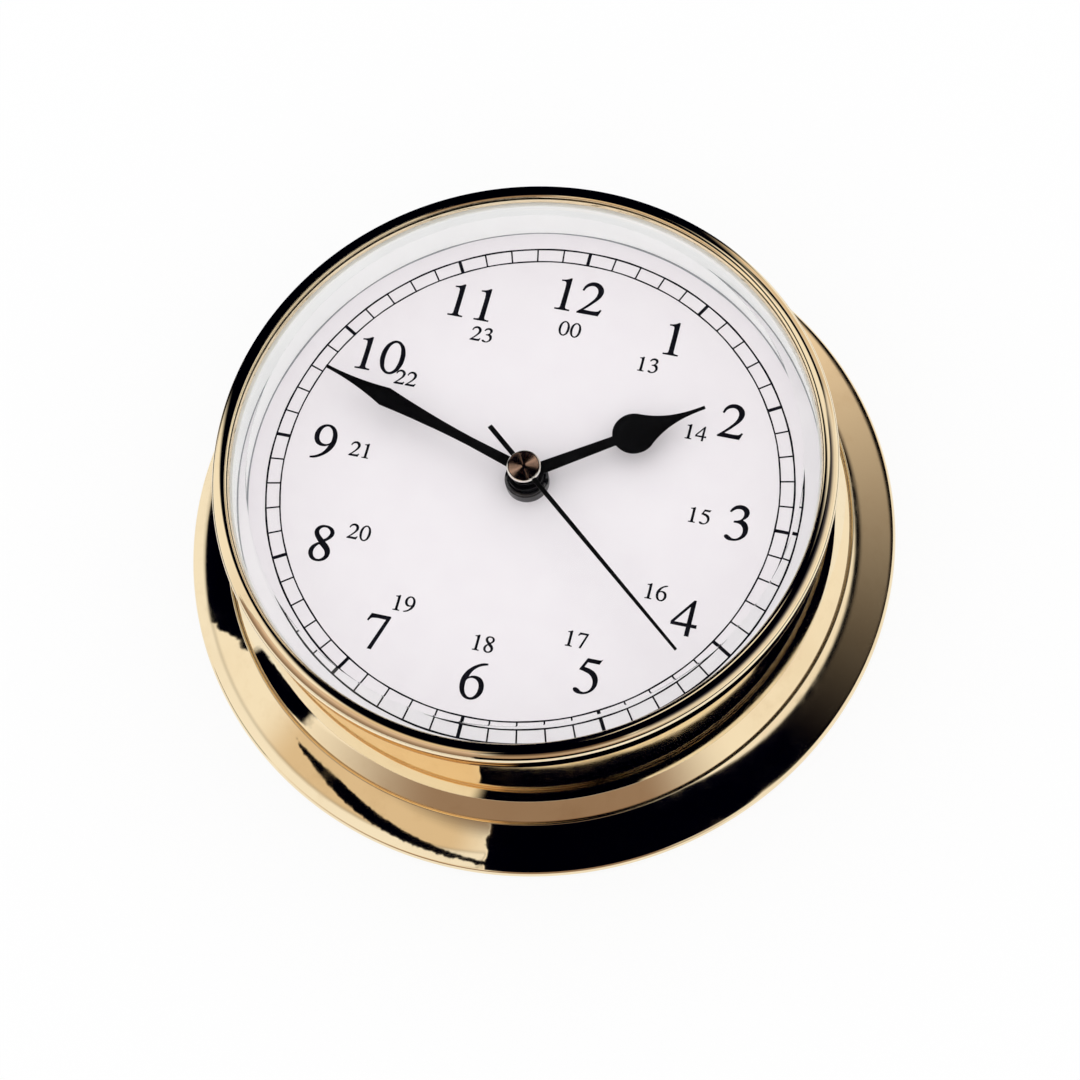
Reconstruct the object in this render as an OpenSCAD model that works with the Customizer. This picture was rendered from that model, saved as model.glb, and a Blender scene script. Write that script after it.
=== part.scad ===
// Round marine bulkhead clock: flared brass case, screw-on bezel with bevelled glass,
// white dial, three hands and a quartz movement with its gear train.
// The back of the flange lies on z = 0, the clock axis is Z and 12 o'clock is towards +Y.

/* [Case] */
// Diameter of the flared base
base_d = 152.4; // [150:0.2:158]
// Outer diameter of the upright wall
wall_d = 126.4; // [124:0.2:130]
// Thickness of the upright wall
wall_t = 2.6; // [2.2:0.1:3.2]
// Height of the dial seat above the back
seat_z = 26.5; // [26:0.5:32]
// Width of the dial seat ledge
seat_w = 3.6; // [2.5:0.1:5]
// Thickness of the dial seat ledge at its lip
seat_t = 3; // [2:0.1:4]
// Radius of the rounded rim of the base
rim_round = 1.2; // [1:0.1:1.6]
// Height of the shoulder bead at the head of the flare
flare_h = 7.7; // [7:0.1:9]
// Radius of the shoulder bead
bead_r = 1.1; // [0.8:0.05:1.4]
// Step between the cove and the shoulder bead
bead_step = 0.35; // [0.2:0.05:0.5]
// Radius of the cove between wall and flare
cove_r = 2.4; // [1.8:0.1:3]
// Thickness of the flare over its hollow back
flare_t = 2.6; // [2.2:0.1:3.2]
// Width of the flat land behind the rim
rim_land = 2.8; // [2.4:0.1:4]
// Thickness of the mounting ring in the back of the case
mount_t = 2.5; // [2:0.1:4]
// Diameter of the opening in the mounting ring
mount_opening_d = 92; // [86:1:98]
// Width of the rebate that the mounting ring lies in
rebate_w = 1; // [0.8:0.1:1.2]
// Diameter of the circle of fixing holes in the mounting ring
fixing_pcd = 106; // [104:0.5:112]
// Diameter of each fixing hole
fixing_hole_d = 4.5; // [4:0.1:5]
// Number of fixing holes
fixing_count = 3; // [3:1:6]

/* [Bezel and glass] */
// Diameter of the bezel at its crown
bezel_d = 127; // [126.6:0.1:129]
// Radius of the rounded crown
crown_round = 1.9; // [1.6:0.05:2.1]
// Height of the threaded neck under the bezel
thread_len = 3.5; // [3:0.1:4.5]
// Thickness of the threaded neck
neck_t = 1; // [0.8:0.05:1.2]
// Thickness of the bezel skirt
skirt_t = 0.95; // [0.7:0.05:1.2]
// Height of the open seam between bezel and case
seam_gap = 0.3; // [0.1:0.05:0.6]
// Overlap of the bezel lip over the glass
lip_overlap = 0.55; // [0.4:0.05:0.9]
// Height of the bezel above the underside of its lip
lip_h = 2.15; // [2:0.05:2.6]
// Height of the upright inner edge of the lip
lip_edge = 0.85; // [0.5:0.05:1.2]
// Thickness of the glass
glass_t = 2.8; // [2.4:0.1:3.6]
// Width of the bevel of the glass
bevel_w = 4; // [3:0.1:6]
// Depth of the bevel at the edge of the glass
bevel_drop = 1.15; // [0.8:0.05:1.4]
// Thickness of the gasket under the glass
gasket_t = 0.5; // [0.4:0.05:0.8]
// Width of the gasket under the glass
gasket_w = 1.1; // [0.9:0.05:1.3]

/* [Dial and spacer] */
// Thickness of the dial plate
dial_t = 1; // [0.8:0.1:1.6]
// Height of the spacer ring between dial and gasket
spacer_h = 8.5; // [8.5:0.1:10]
// Thickness of the spacer ring at the dial
spacer_foot_t = 1.7; // [1.4:0.1:2.2]
// Thickness of the spacer ring under the gasket
spacer_head_t = 1.1; // [0.9:0.1:1.4]

/* [Hands] */
// Angle of the hour hand, clockwise from 12
hour_angle = 55.9; // [0:0.1:360]
// Angle of the minute hand, clockwise from 12
minute_angle = 287.4; // [0:0.1:360]
// Angle of the second hand, clockwise from 12
second_angle = 129.2; // [0:0.1:360]
// Length of the hour hand from the axis
hour_len = 39.3; // [34:0.1:44]
// Distance of the round of the hour hand from the axis
hour_round_at = 23.7; // [18:0.1:26]
// Diameter of the round of the hour hand
hour_round_d = 9; // [7:0.1:10]
// Length of the minute hand from the axis
minute_len = 49.2; // [44:0.1:53]
// Distance of the widest place of the minute hand from the axis
minute_wide_at = 34.4; // [28:0.1:38]
// Width of the minute hand at its widest place
minute_wide_w = 4.3; // [3:0.1:5]
// Width of the hour hand at the hub
hour_stem_w = 2.9; // [2.2:0.1:3.4]
// Width of the minute hand at the hub
minute_stem_w = 2.4; // [2:0.1:2.8]
// Width of the hour and minute hands at their narrowest places
hand_neck_w = 1.95; // [1.6:0.05:2.1]
// Distance of the narrowest place of the minute hand from the axis
minute_neck_at = 13; // [8:0.5:20]
// Length of the second hand from the axis
second_len = 50.2; // [44:0.1:54]
// Length of the tail of the second hand
second_tail = 11.9; // [8:0.1:16]
// Width of the second hand at its hub
second_w = 1.05; // [0.8:0.05:1.4]
// Width of the second hand at its tip
second_tip_w = 0.6; // [0.4:0.05:0.8]
// Width of the points of the hour and minute hands
point_w = 0.7; // [0.3:0.05:0.9]
// Thickness of the hands
hand_t = 0.4; // [0.3:0.05:0.5]
// Height of the hour hand above the dial
hour_level = 4.2; // [4.1:0.1:4.4]
// Height of the minute hand above the dial
minute_level = 5.9; // [5.8:0.1:6.1]
// Height of the second hand above the dial
second_level = 7.4; // [7.3:0.1:7.5]
// Radius of the disc of the hour hand around its bush
hour_disc_r = 3.7; // [3.4:0.1:4.2]
// Radius of the disc of the minute hand around its bush
minute_disc_r = 3.2; // [2.8:0.1:3.6]
// Thickness of the wall of each hand bush
bush_t = 0.6; // [0.4:0.05:0.8]
// Diameter of the polished cap on the second hand
cap_d = 7; // [6:0.1:8]
// Thickness of the polished cap
cap_t = 0.7; // [0.5:0.05:0.9]

/* [Movement] */
// Width of the movement housing
move_w = 56; // [54:0.5:60]
// Thickness of the movement housing
move_t = 16.5; // [16.2:0.1:17.5]
// Wall thickness of the movement housing
shell_t = 1.5; // [1.2:0.1:2]
// Corner radius of the movement housing
shell_round = 3; // [2:0.5:5]
// Thickness of the rubber washer between movement and dial
washer_t = 1; // [0.6:0.1:1.5]
// Diameter of the rubber washer
washer_d = 15; // [12:0.5:20]
// Diameter of the threaded stem of the movement
stem_d = 7; // [6.6:0.1:7.4]
// Height of the stem above the dial
stem_h = 2.6; // [2.2:0.1:2.8]
// Diameter of the stem nut
nut_d = 9.1; // [8.6:0.1:10]
// Height of the stem nut
nut_h = 3; // [2.6:0.1:3.2]
// Diameter of the hour tube
hour_tube_d = 4.5; // [4.3:0.05:4.8]
// Diameter of the minute tube
minute_tube_d = 3; // [2.8:0.05:3.2]
// Diameter of the second arbor
second_arbor_d = 1.4; // [1.2:0.05:1.5]
// Thickness of the gear wheels
wheel_t = 1; // [0.8:0.05:1.1]
// Diameter of the plain arbors of the train
arbor_d = 1.2; // [1:0.05:1.3]
// Thickness of the train bridge
bridge_t = 1; // [0.8:0.05:1.2]

/* [Gear teeth] */
// Teeth of the rotor pinion
rotor_teeth = 6; // [6:1:8]
// Teeth of the intermediate wheel
inter_teeth = 36; // [36:1:40]
// Teeth of the intermediate pinion
inter_pinion_teeth = 6; // [6:1:7]
// Teeth of the second wheel
second_teeth = 30; // [28:1:32]
// Teeth of the pinion on the second arbor
second_pinion_teeth = 6; // [6:1:7]
// Teeth of the third wheel
third_teeth = 45; // [42:1:46]
// Teeth of the third pinion
third_pinion_teeth = 6; // [6:1:7]
// Teeth of the centre wheel
centre_teeth = 48; // [46:1:50]
// Teeth of the cannon pinion
cannon_teeth = 8; // [8:1:9]
// Teeth of the motion wheel and of the train to the setting pinion
motion_teeth = 24; // [23:1:25]
// Teeth of the motion pinion
motion_pinion_teeth = 6; // [6:1:7]
// Teeth of the hour wheel
hour_teeth = 24; // [22:1:25]
// Teeth of the setting pinion
setting_teeth = 8; // [8:1:9]
// Module of the motor gears
motor_mod = 0.4; // [0.36:0.01:0.42]
// Module of the second wheel
second_mod = 0.46; // [0.42:0.01:0.48]
// Module of the third wheel
third_mod = 0.4; // [0.38:0.01:0.42]
// Module of the setting gears
setting_mod = 0.6; // [0.56:0.01:0.62]

/* [Motor, board and cell] */
// Diameter of the rotor magnet
magnet_d = 4.4; // [4:0.1:5]
// Air gap between magnet and stator
air_gap = 0.5; // [0.3:0.05:0.8]
// Thickness of the stator
stator_t = 1; // [0.8:0.1:1.2]
// Radius of the two saturation notches in the rotor hole of the stator
notch_r = 0.5; // [0.4:0.05:0.6]
// Width of the narrow neck between a notch and the edge of the stator
neck_w = 0.4; // [0.3:0.05:0.5]
// Length of the stator between the outer sides of its legs
stator_w = 18; // [17:0.5:20]
// Width of each stator leg
leg_w = 3.2; // [2.8:0.1:3.6]
// Outer diameter of the coil winding
coil_d = 6.2; // [5:0.1:6.6]
// Diameter of the coil bobbin under the winding
bobbin_d = 3.6; // [3.4:0.1:4]
// Width of the coil core
core_w = 2; // [1.6:0.1:2.2]
// Width of the circuit board
board_w = 16; // [14:0.5:17]
// Length of the circuit board
board_l = 13; // [12:0.5:13.5]
// Thickness of the circuit board
board_t = 1; // [0.8:0.1:1.6]
// Distance of the circuit board from the walls of the housing
board_margin = 1; // [0.9:0.1:1.4]
// Diameter of the quartz can
quartz_d = 2; // [1.6:0.1:2.4]
// Length of the quartz can
quartz_l = 6; // [5:0.5:8]
// Diameter of the cell
cell_d = 14.3; // [13.5:0.1:14.5]
// Length of the cell without its nub
cell_l = 49; // [48:0.1:49.3]
// Length of the nub of the cell
nub_l = 1.4; // [1:0.1:1.6]
// Diameter of the nub of the cell
nub_d = 5.4; // [5:0.1:5.6]
// Thickness of the cell contacts
contact_t = 0.4; // [0.3:0.05:0.5]
// Height by which the minus contact springs out to the cell
spring_h = 1.2; // [0.8:0.1:1.4]
// Diameter of the setting knob
knob_d = 10; // [8:0.5:11]
// Height of the setting knob
knob_h = 2.2; // [1.6:0.1:2.6]

/* [Clearances] */
// Radial clearance of the turning shafts in their holes
shaft_clear = 0.05; // [0.03:0.01:0.08]
// Radial clearance of the bezel thread
thread_clear = 0.05; // [0.03:0.01:0.08]
// Radial clearance of glass, spacer and dial in the case
glass_clear = 0.15; // [0.1:0.05:0.3]
// Clearance of pressed pieces and of the bezel lip over the glass
press_clear = 0.02; // [0.01:0.01:0.05]
// Clearance between stacked turning pieces
stack_clear = 0.3; // [0.2:0.05:0.35]
// Clearance between the centre wheel and the wall of the cell bay
wheel_clear = 0.8; // [0.6:0.1:1.2]
// Clearance around loose inner pieces
seat_clear = 0.1; // [0.05:0.05:0.2]

/* [Hidden] */
$fn = 96;
brass = "goldenrod";
off_white = "whitesmoke";
black = [0.08, 0.08, 0.09];
wheel_white = [0.9, 0.9, 0.86];
steel = "silver";
bite = 1;
blade_steps = 12;

// Rings of the case, from the back to the front
base_r = base_d / 2;
wall_r = wall_d / 2;
bore_r = wall_r - wall_t;
seat_r = bore_r - seat_w;
neck_r = bore_r + neck_t;
rebate_r = bore_r + rebate_w;
dial_z = seat_z + dial_t;
gasket_z = dial_z + spacer_h;
glass_z = gasket_z + gasket_t;
glass_top = glass_z + glass_t;
glass_r = bore_r - glass_clear;
glass_edge = glass_top - bevel_drop;
neck_top = glass_edge - glass_clear;
collar_z = neck_top - thread_len;
bezel_r = bezel_d / 2;
bezel_in_r = neck_r + thread_clear;
skirt_r = bezel_in_r + skirt_t;
bezel_z = collar_z + seam_gap;
lip_r = glass_r - lip_overlap;
lip_z = glass_edge + bevel_drop * lip_overlap / bevel_w + press_clear;
bezel_top = lip_z + lip_h;
crown = [bezel_r - crown_round, bezel_top - crown_round];
cove_foot = flare_h - bead_step;
bead = [wall_r + cove_r + bead_r, flare_h - bead_r];
rim = [base_r - rim_round, rim_round];
flare_span = norm(rim - bead);
flare_turn = atan2(rim.y - bead.y, rim.x - bead.x) + acos((bead_r - rim_round) / flare_span);
flare_up = [cos(flare_turn), sin(flare_turn)];
flare_head = bead + bead_r * flare_up;
flare_foot = rim + rim_round * flare_up;
hollow_out = base_r - rim_land;
hollow_rise = (flare_head.y - flare_foot.y) / (flare_foot.x - flare_head.x);
hollow_foot = max(0.2, flare_foot.y + (flare_foot.x - hollow_out) * hollow_rise - flare_t / flare_up.y);
hollow_head = cove_foot - flare_t;

// Heights inside the movement, from the back to the front
move_front = seat_z - washer_t;
move_back = move_front - move_t;
front_inner = move_front - shell_t;
back_inner = move_back + shell_t;
inner_half = move_w / 2 - shell_t;
pocket_round = shell_round - shell_t / 2;
wheel_step = wheel_t + 2 * stack_clear;
inter_z = back_inner + 5 * stack_clear;
second_z = inter_z + wheel_step;
bridge_z = second_z + wheel_step;
third_z = bridge_z + bridge_t + stack_clear;
centre_z = third_z + wheel_step + stack_clear;
cannon_z = centre_z + wheel_step;
hour_z = cannon_z + wheel_step;
hour_top = hour_z + wheel_t;
boss_z = hour_top + stack_clear;
pivot_in = 0.8;
arbor_r = arbor_d / 2;
hour_tube_r = hour_tube_d / 2;
minute_tube_r = minute_tube_d / 2;
second_arbor_r = second_arbor_d / 2;
stem_r = stem_d / 2;
hour_tube_top = dial_z + hour_level + hand_t + stack_clear;
minute_tube_top = dial_z + minute_level + hand_t + stack_clear;
second_arbor_top = dial_z + second_level + hand_t - seat_clear;

// Axes of the train, and the turn of each wheel that puts its teeth in mesh
tooth_slack = 0.12;
pressure = 28;
addendum = 0.66;
dedendum = 1;
inter_dir = 100;
rotor_dir = 110;
third_dir = 170;
motion_dir = 30;
setting_dir = -20;
function polar(r, a) = r * [cos(a), sin(a)];
function mesh_dist(m, n1, n2) = m * (n1 + n2) / 2;
function mesh_turn(turn, n1, n2, dir) = dir + 180 + (180 - (turn - dir) * n1) / n2;
third_dist = mesh_dist(third_mod, second_pinion_teeth, third_teeth);
motion_dist = mesh_dist(setting_mod, cannon_teeth, motion_teeth);
centre_mod = 2 * third_dist / (third_pinion_teeth + centre_teeth);
hour_mod = 2 * motion_dist / (motion_pinion_teeth + hour_teeth);
inter_at = polar(mesh_dist(second_mod, second_teeth, inter_pinion_teeth), inter_dir);
rotor_at = inter_at + polar(mesh_dist(motor_mod, inter_teeth, rotor_teeth), rotor_dir);
third_at = polar(third_dist, third_dir);
motion_at = polar(motion_dist, motion_dir);
setting_at = motion_at + polar(mesh_dist(setting_mod, motion_teeth, setting_teeth), setting_dir);
inter_turn = mesh_turn(0, second_teeth, inter_pinion_teeth, inter_dir);
rotor_turn = mesh_turn(inter_turn, inter_teeth, rotor_teeth, rotor_dir);
third_turn = mesh_turn(0, second_pinion_teeth, third_teeth, third_dir);
centre_turn = mesh_turn(third_turn, third_pinion_teeth, centre_teeth, third_dir + 180);
motion_turn = mesh_turn(0, cannon_teeth, motion_teeth, motion_dir);
hour_turn = mesh_turn(motion_turn, motion_pinion_teeth, hour_teeth, motion_dir + 180);
setting_turn = mesh_turn(motion_turn, motion_teeth, setting_teeth, setting_dir);

// Motor, board and cell
stator_z = second_z;
stator_hole_r = magnet_d / 2 + air_gap;
stator_half = stator_hole_r + notch_r + neck_w;
coil_y = rotor_at.y + stator_half + stack_clear + coil_d / 2;
core_z = stator_z + stator_t;
core_t = stator_t;
bobbin_flange_t = 0.6;
coil_len = stator_w - 2 * leg_w;
centre_tip_r = centre_mod * (centre_teeth / 2 + addendum);
train_y0 = -centre_tip_r - wheel_clear;
train_y1 = coil_y + coil_d / 2 + stack_clear;
bay_y1 = train_y0 - shell_t;
bay_y0 = bay_y1 - cell_d - 2 * stack_clear;
cell_y = (bay_y0 + bay_y1) / 2;
cell_z = front_inner - cell_d / 2 - seat_clear;
bay_half = (cell_l + nub_l + spring_h + 2 * contact_t) / 2;
bay_pocket_half = bay_half + stack_clear;
cell_minus_x = -bay_half + contact_t + spring_h;
board_at = [inner_half - board_w - board_margin, train_y1 - board_l - board_margin];
board_z = back_inner + 2 * stack_clear;
pillar_r = 1.5;
pillars = [[-12, -7], [9.6, 8.6], [-15.5, 8]];
bridge_pad_r = 2.4;

// Solid ring of a profile turned about the clock axis
module turned() {
    rotate_extrude() children();
}

// Plain ring between two radii
module ring(r_in, r_out, z, h) {
    translate([0, 0, z])
        linear_extrude(h)
            difference() {
                circle(r_out);
                circle(r_in);
            }
}

// Upright round bar from z0 to z1
module bar(at, r, z0, z1) {
    translate([at.x, at.y, z0]) cylinder(r = r, h = z1 - z0);
}

// Rectangle with round corners, half its width to each side of the axis
module round_rect(half, y0, y1, r) {
    translate([-half, y0 + r]) square([2 * half, y1 - y0 - 2 * r]);
    translate([r - half, y0]) square([2 * (half - r), y1 - y0]);
    for (x = [r - half, half - r], y = [y0 + r, y1 - r])
        translate([x, y]) circle(r);
}

// Half angle of an involute tooth at a radius
function involute(a) = tan(a) * 180 / PI - a;
function tooth_half(n, m, r) =
    let (base = n * m / 2 * cos(pressure))
    90 / n * (1 - tooth_slack) + involute(pressure) - involute(acos(min(1, base / r)));

// Outline of a spur gear with one tooth centred on the angle turn
module gear_outline(n, m, turn) {
    pitch_r = n * m / 2;
    tip_r = pitch_r + addendum * m;
    root_r = pitch_r - dedendum * m;
    base_r = max(root_r, pitch_r * cos(pressure));
    root_half = tooth_half(n, m, base_r);
    pitch_half = tooth_half(n, m, pitch_r);
    tip_half = tooth_half(n, m, tip_r);
    polygon([for (k = [0:n - 1], s = [[root_r, -root_half], [pitch_r, -pitch_half], [tip_r, -tip_half],
        [tip_r, tip_half], [pitch_r, pitch_half], [root_r, root_half]])
        polar(s[0], turn + k * 360 / n + s[1])]);
}

module gear(n, m, turn, z, h) {
    translate([0, 0, z]) linear_extrude(h) gear_outline(n, m, turn);
}

// Outline of the case, from the rebate at the back to the threaded neck
module case_profile() {
    difference() {
        union() {
            polygon([[rebate_r, 0], [wall_r, 0], [wall_r, collar_z], [neck_r, collar_z], [neck_r, neck_top],
                [bore_r, neck_top], [bore_r, seat_z], [seat_r, seat_z], [seat_r, seat_z - seat_t],
                [bore_r, seat_z - seat_t - seat_w], [bore_r, mount_t], [rebate_r, mount_t]]);
            difference() {
                translate([wall_r - bite, 0]) square([cove_r + bite, cove_foot + cove_r]);
                translate([wall_r + cove_r, cove_foot + cove_r]) circle(cove_r);
            }
            polygon([[wall_r - bite, 0], [rim.x, 0], flare_foot, flare_head, bead, [bead.x, bead.y - bead_r],
                [wall_r - bite, bead.y - bead_r]]);
            translate([wall_r + cove_r, 0]) square([bead_r, bead.y]);
            translate(bead) circle(bead_r);
            translate(rim) circle(rim_round);
        }
        polygon([[wall_r, -bite], [hollow_out, -bite], [hollow_out, hollow_foot], [bead.x, hollow_head],
            [wall_r, hollow_head]]);
    }
}

module case() {
    color(brass) turned() case_profile();
}

// Flat ring pressed into the back of the case, with the holes that fix the clock to a bulkhead
module mounting_ring() {
    color(brass)
        difference() {
            ring(mount_opening_d / 2, rebate_r - press_clear, 0, mount_t - press_clear);
            for (k = [0:fixing_count - 1])
                bar(polar(fixing_pcd / 2, 90 + k * 360 / fixing_count), fixing_hole_d / 2, -bite, mount_t + bite);
        }
}

module bezel() {
    color(brass)
        turned() {
            difference() {
                intersection() {
                    translate(crown) circle(crown_round);
                    translate([crown.x, bezel_z]) square([2 * crown_round, bezel_top]);
                }
                square([bezel_in_r, lip_z]);
            }
            translate([bezel_in_r, bezel_z]) square([skirt_t, crown.y - bezel_z]);
            polygon([[lip_r, lip_z], [bezel_in_r + skirt_t / 2, lip_z], [bezel_in_r + skirt_t / 2, crown.y],
                [crown.x, bezel_top], [lip_r, lip_z + lip_edge]]);
        }
}

module glass() {
    color([0.8, 0.9, 0.95, 0.35])
        turned()
            polygon([[0, glass_z], [glass_r, glass_z], [glass_r, glass_edge], [glass_r - bevel_w, glass_top],
                [0, glass_top]]);
}

module gasket() {
    color("white") ring(glass_r - gasket_w, glass_r, gasket_z, gasket_t);
}

module spacer_ring() {
    color(off_white)
        turned()
            polygon([[glass_r - spacer_foot_t, dial_z], [glass_r, dial_z], [glass_r, gasket_z],
                [glass_r - spacer_head_t, gasket_z]]);
}

module dial() {
    color(off_white) ring(stem_r + seat_clear, glass_r, seat_z, dial_t);
}

module dial_washer() {
    color(black) ring(stem_r + seat_clear, washer_d / 2, move_front, washer_t);
}

// Round nut with a chamfered head and two spanner slots
module stem_nut() {
    chamfer = 0.6;
    slot_w = 1.2;
    slot_d = 0.8;
    color(black)
        difference() {
            translate([0, 0, dial_z])
                turned()
                    polygon([[stem_r + press_clear, 0], [nut_d / 2, 0], [nut_d / 2, nut_h - chamfer],
                        [nut_d / 2 - chamfer, nut_h], [stem_r + press_clear, nut_h]]);
            translate([0, 0, dial_z + nut_h])
                cube([nut_d + bite, slot_w, 2 * slot_d], center = true);
        }
}

// Outline of one hand, pointing along +Y, with its disc and its bore
module hand_outline(disc_r, bore_r) {
    difference() {
        union() {
            circle(disc_r);
            children();
        }
        circle(bore_r);
    }
}

// Right side of a hollowed stretch of blade, from width w0 at y0 to width w1 at y1
function blade_side(w0, w1, y0, y1, hollow, first = 0) =
    [for (i = [first:blade_steps]) let (s = i / blade_steps)
        [w1 / 2 + (w0 - w1) / 2 * pow(1 - s, hollow), y0 + (y1 - y0) * s]];

function reversed(points) = [for (i = [len(points) - 1:-1:0]) points[i]];

// Blade with the same outline on both sides
module blade(side) {
    polygon(concat(side, [for (p = reversed(side)) [-p.x, p.y]]));
}

module placed_hand(angle, level) {
    translate([0, 0, dial_z + level]) rotate(-angle) linear_extrude(hand_t) children();
}

module hour_hand() {
    shoulder = hour_round_at + 0.31 * hour_round_d;
    color(black)
        placed_hand(hour_angle, hour_level)
            hand_outline(hour_disc_r, hour_tube_r + bush_t + press_clear) {
                blade([[hour_stem_w / 2, 0], [hand_neck_w / 2, hour_round_at]]);
                translate([0, hour_round_at]) circle(d = hour_round_d);
                blade(blade_side(0.78 * hour_round_d, point_w, shoulder, hour_len, 2.6));
            }
}

module minute_hand() {
    swell = reversed(blade_side(minute_wide_w, hand_neck_w, minute_wide_at, minute_neck_at, 1.8));
    tip = blade_side(minute_wide_w, point_w, minute_wide_at, minute_len, 2, 1);
    color(black)
        placed_hand(minute_angle, minute_level)
            hand_outline(minute_disc_r, minute_tube_r + bush_t + press_clear)
                blade(concat([[minute_stem_w / 2, 0]], swell, tip));
}

module second_hand() {
    color(black)
        placed_hand(second_angle, second_level)
            hand_outline(cap_d / 2 - cap_t, second_arbor_r + press_clear)
                polygon([[-second_w / 2, -second_tail], [second_w / 2, -second_tail], [second_w / 2, 0],
                    [second_tip_w / 2, second_len], [-second_tip_w / 2, second_len], [-second_w / 2, 0]]);
}

// Bush that carries a hand on its tube, with a foot under the hand
module hand_bush(tube_r, foot_z, level) {
    foot_w = 0.5;
    translate([0, 0, foot_z])
        turned()
            polygon([[tube_r + press_clear, 0], [tube_r + bush_t + foot_w, 0],
                [tube_r + bush_t + foot_w, dial_z + level - foot_z], [tube_r + bush_t, dial_z + level - foot_z],
                [tube_r + bush_t, dial_z + level + hand_t + stack_clear / 2 - foot_z],
                [tube_r + press_clear, dial_z + level + hand_t + stack_clear / 2 - foot_z]]);
}

module hour_bush() {
    color(black) hand_bush(hour_tube_r, dial_z + nut_h + stack_clear, hour_level);
}

module minute_bush() {
    color(black) hand_bush(minute_tube_r, hour_tube_top + stack_clear, minute_level);
}

module second_bush() {
    foot_z = minute_tube_top + stack_clear;
    color(black) ring(second_arbor_r + press_clear, second_arbor_r + 2 * bush_t, foot_z, dial_z + second_level - foot_z);
}

// Polished cap with a rounded edge, seated on the second hand
module second_cap() {
    foot = dial_z + second_level + hand_t;
    edge = cap_t / 2;
    color(brass)
        translate([0, 0, foot])
            turned() {
                square([cap_d / 2 - edge, cap_t]);
                intersection() {
                    translate([cap_d / 2 - edge, edge]) circle(edge);
                    square([cap_d, cap_t]);
                }
            }
}

// Outline of the movement housing, with the cell bay as wide as the cell needs
module housing_outline() {
    round_rect(move_w / 2, bay_y0 - shell_t, train_y1 + shell_t, shell_round);
    round_rect(bay_pocket_half + shell_t, bay_y0 - shell_t, train_y0, shell_round);
}

// Front half of the movement housing: lid, locating rim, stem and bearing bosses
module front_shell() {
    lip_h = 1.2;
    lip_t = 1;
    boss_r = arbor_r + 0.9;
    color(black)
        difference() {
            union() {
                translate([0, 0, front_inner]) linear_extrude(shell_t) housing_outline();
                translate([0, 0, front_inner - lip_h])
                    linear_extrude(lip_h + bite / 2)
                        difference() {
                            round_rect(inner_half - seat_clear, train_y0 + seat_clear, train_y1 - seat_clear,
                                pocket_round);
                            round_rect(inner_half - lip_t, train_y0 + lip_t, train_y1 - lip_t, pocket_round);
                        }
                bar([0, 0], stem_r, front_inner, dial_z + stem_h);
                bar(third_at, boss_r, boss_z, front_inner + bite / 2);
                bar(setting_at, boss_r, boss_z, front_inner + bite / 2);
                bar(motion_at, boss_r, boss_z, front_inner + bite / 2);
                bar(motion_at, arbor_r, cannon_z, front_inner + bite / 2);
            }
            bar([0, 0], hour_tube_r + shaft_clear, front_inner - bite, dial_z + stem_h + bite);
            bar(third_at, arbor_r + shaft_clear, boss_z - bite, boss_z + pivot_in + stack_clear);
            bar(setting_at, arbor_r + shaft_clear, boss_z - bite, boss_z + pivot_in + stack_clear);
        }
}

// Rear half of the movement housing: tray with cell bay, pillars, bearing bosses and knob hole
module rear_shell() {
    boss_r = arbor_r + 0.9;
    boss_top = inter_z - stack_clear;
    pin_r = 0.8;
    color(black)
        difference() {
            union() {
                difference() {
                    translate([0, 0, move_back]) linear_extrude(front_inner - move_back) housing_outline();
                    translate([0, 0, back_inner])
                        linear_extrude(move_t) {
                            round_rect(inner_half, train_y0, train_y1, pocket_round);
                            round_rect(bay_pocket_half, bay_y0, bay_y1, pocket_round);
                        }
                }
                for (p = pillars) {
                    bar(p, pillar_r, back_inner - bite / 2, bridge_z);
                    bar(p, pin_r, back_inner, bridge_z + bridge_t);
                }
                for (p = [inter_at, rotor_at, [0, 0]]) bar(p, boss_r, back_inner - bite / 2, boss_top);
                for (x = [0, 1], y = [0, 1])
                    bar(board_at + [x * (board_w - 2) + 1, y * (board_l - 2) + 1], 1, back_inner - bite / 2, board_z);
            }
            translate([-bay_half, bay_y0, move_back - bite]) cube([2 * bay_half, bay_y1 - bay_y0, shell_t + 2 * bite]);
            for (p = [inter_at, rotor_at]) bar(p, arbor_r + shaft_clear, boss_top - pivot_in - stack_clear, boss_top + bite);
            bar([0, 0], second_arbor_r + shaft_clear, boss_top - pivot_in - stack_clear, boss_top + bite);
            bar(setting_at, 2 * arbor_r + shaft_clear, move_back - bite, back_inner + bite);
        }
}

// Plate over the motor gears that carries their front pivots and the foot of the third wheel
module train_bridge() {
    outline = [pillars[0], [2.5, -4.5], pillars[1], rotor_at + [2.2, 1.5], rotor_at + [-2.2, 1.5], pillars[2]];
    color(wheel_white)
        difference() {
            translate([0, 0, bridge_z])
                linear_extrude(bridge_t) {
                    polygon(outline);
                    for (p = concat(pillars, [rotor_at])) translate(p) circle(bridge_pad_r);
                }
            for (p = pillars) bar(p, 0.8 + press_clear, bridge_z - bite, bridge_z + bridge_t + bite);
            for (p = [inter_at, rotor_at, third_at])
                bar(p, arbor_r + shaft_clear, bridge_z - bite, bridge_z + bridge_t + bite);
            bar([0, 0], second_arbor_r + shaft_clear, bridge_z - bite, bridge_z + bridge_t + bite);
        }
}

// Foot of the pivots that stand in the rear bosses
function rear_pivot() = inter_z - stack_clear - pivot_in;

module rotor_pinion() {
    color(wheel_white)
        translate([rotor_at.x, rotor_at.y, 0]) {
            gear(rotor_teeth, motor_mod, rotor_turn, inter_z, wheel_t);
            bar([0, 0], arbor_r, rear_pivot(), bridge_z + bridge_t);
        }
}

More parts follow.
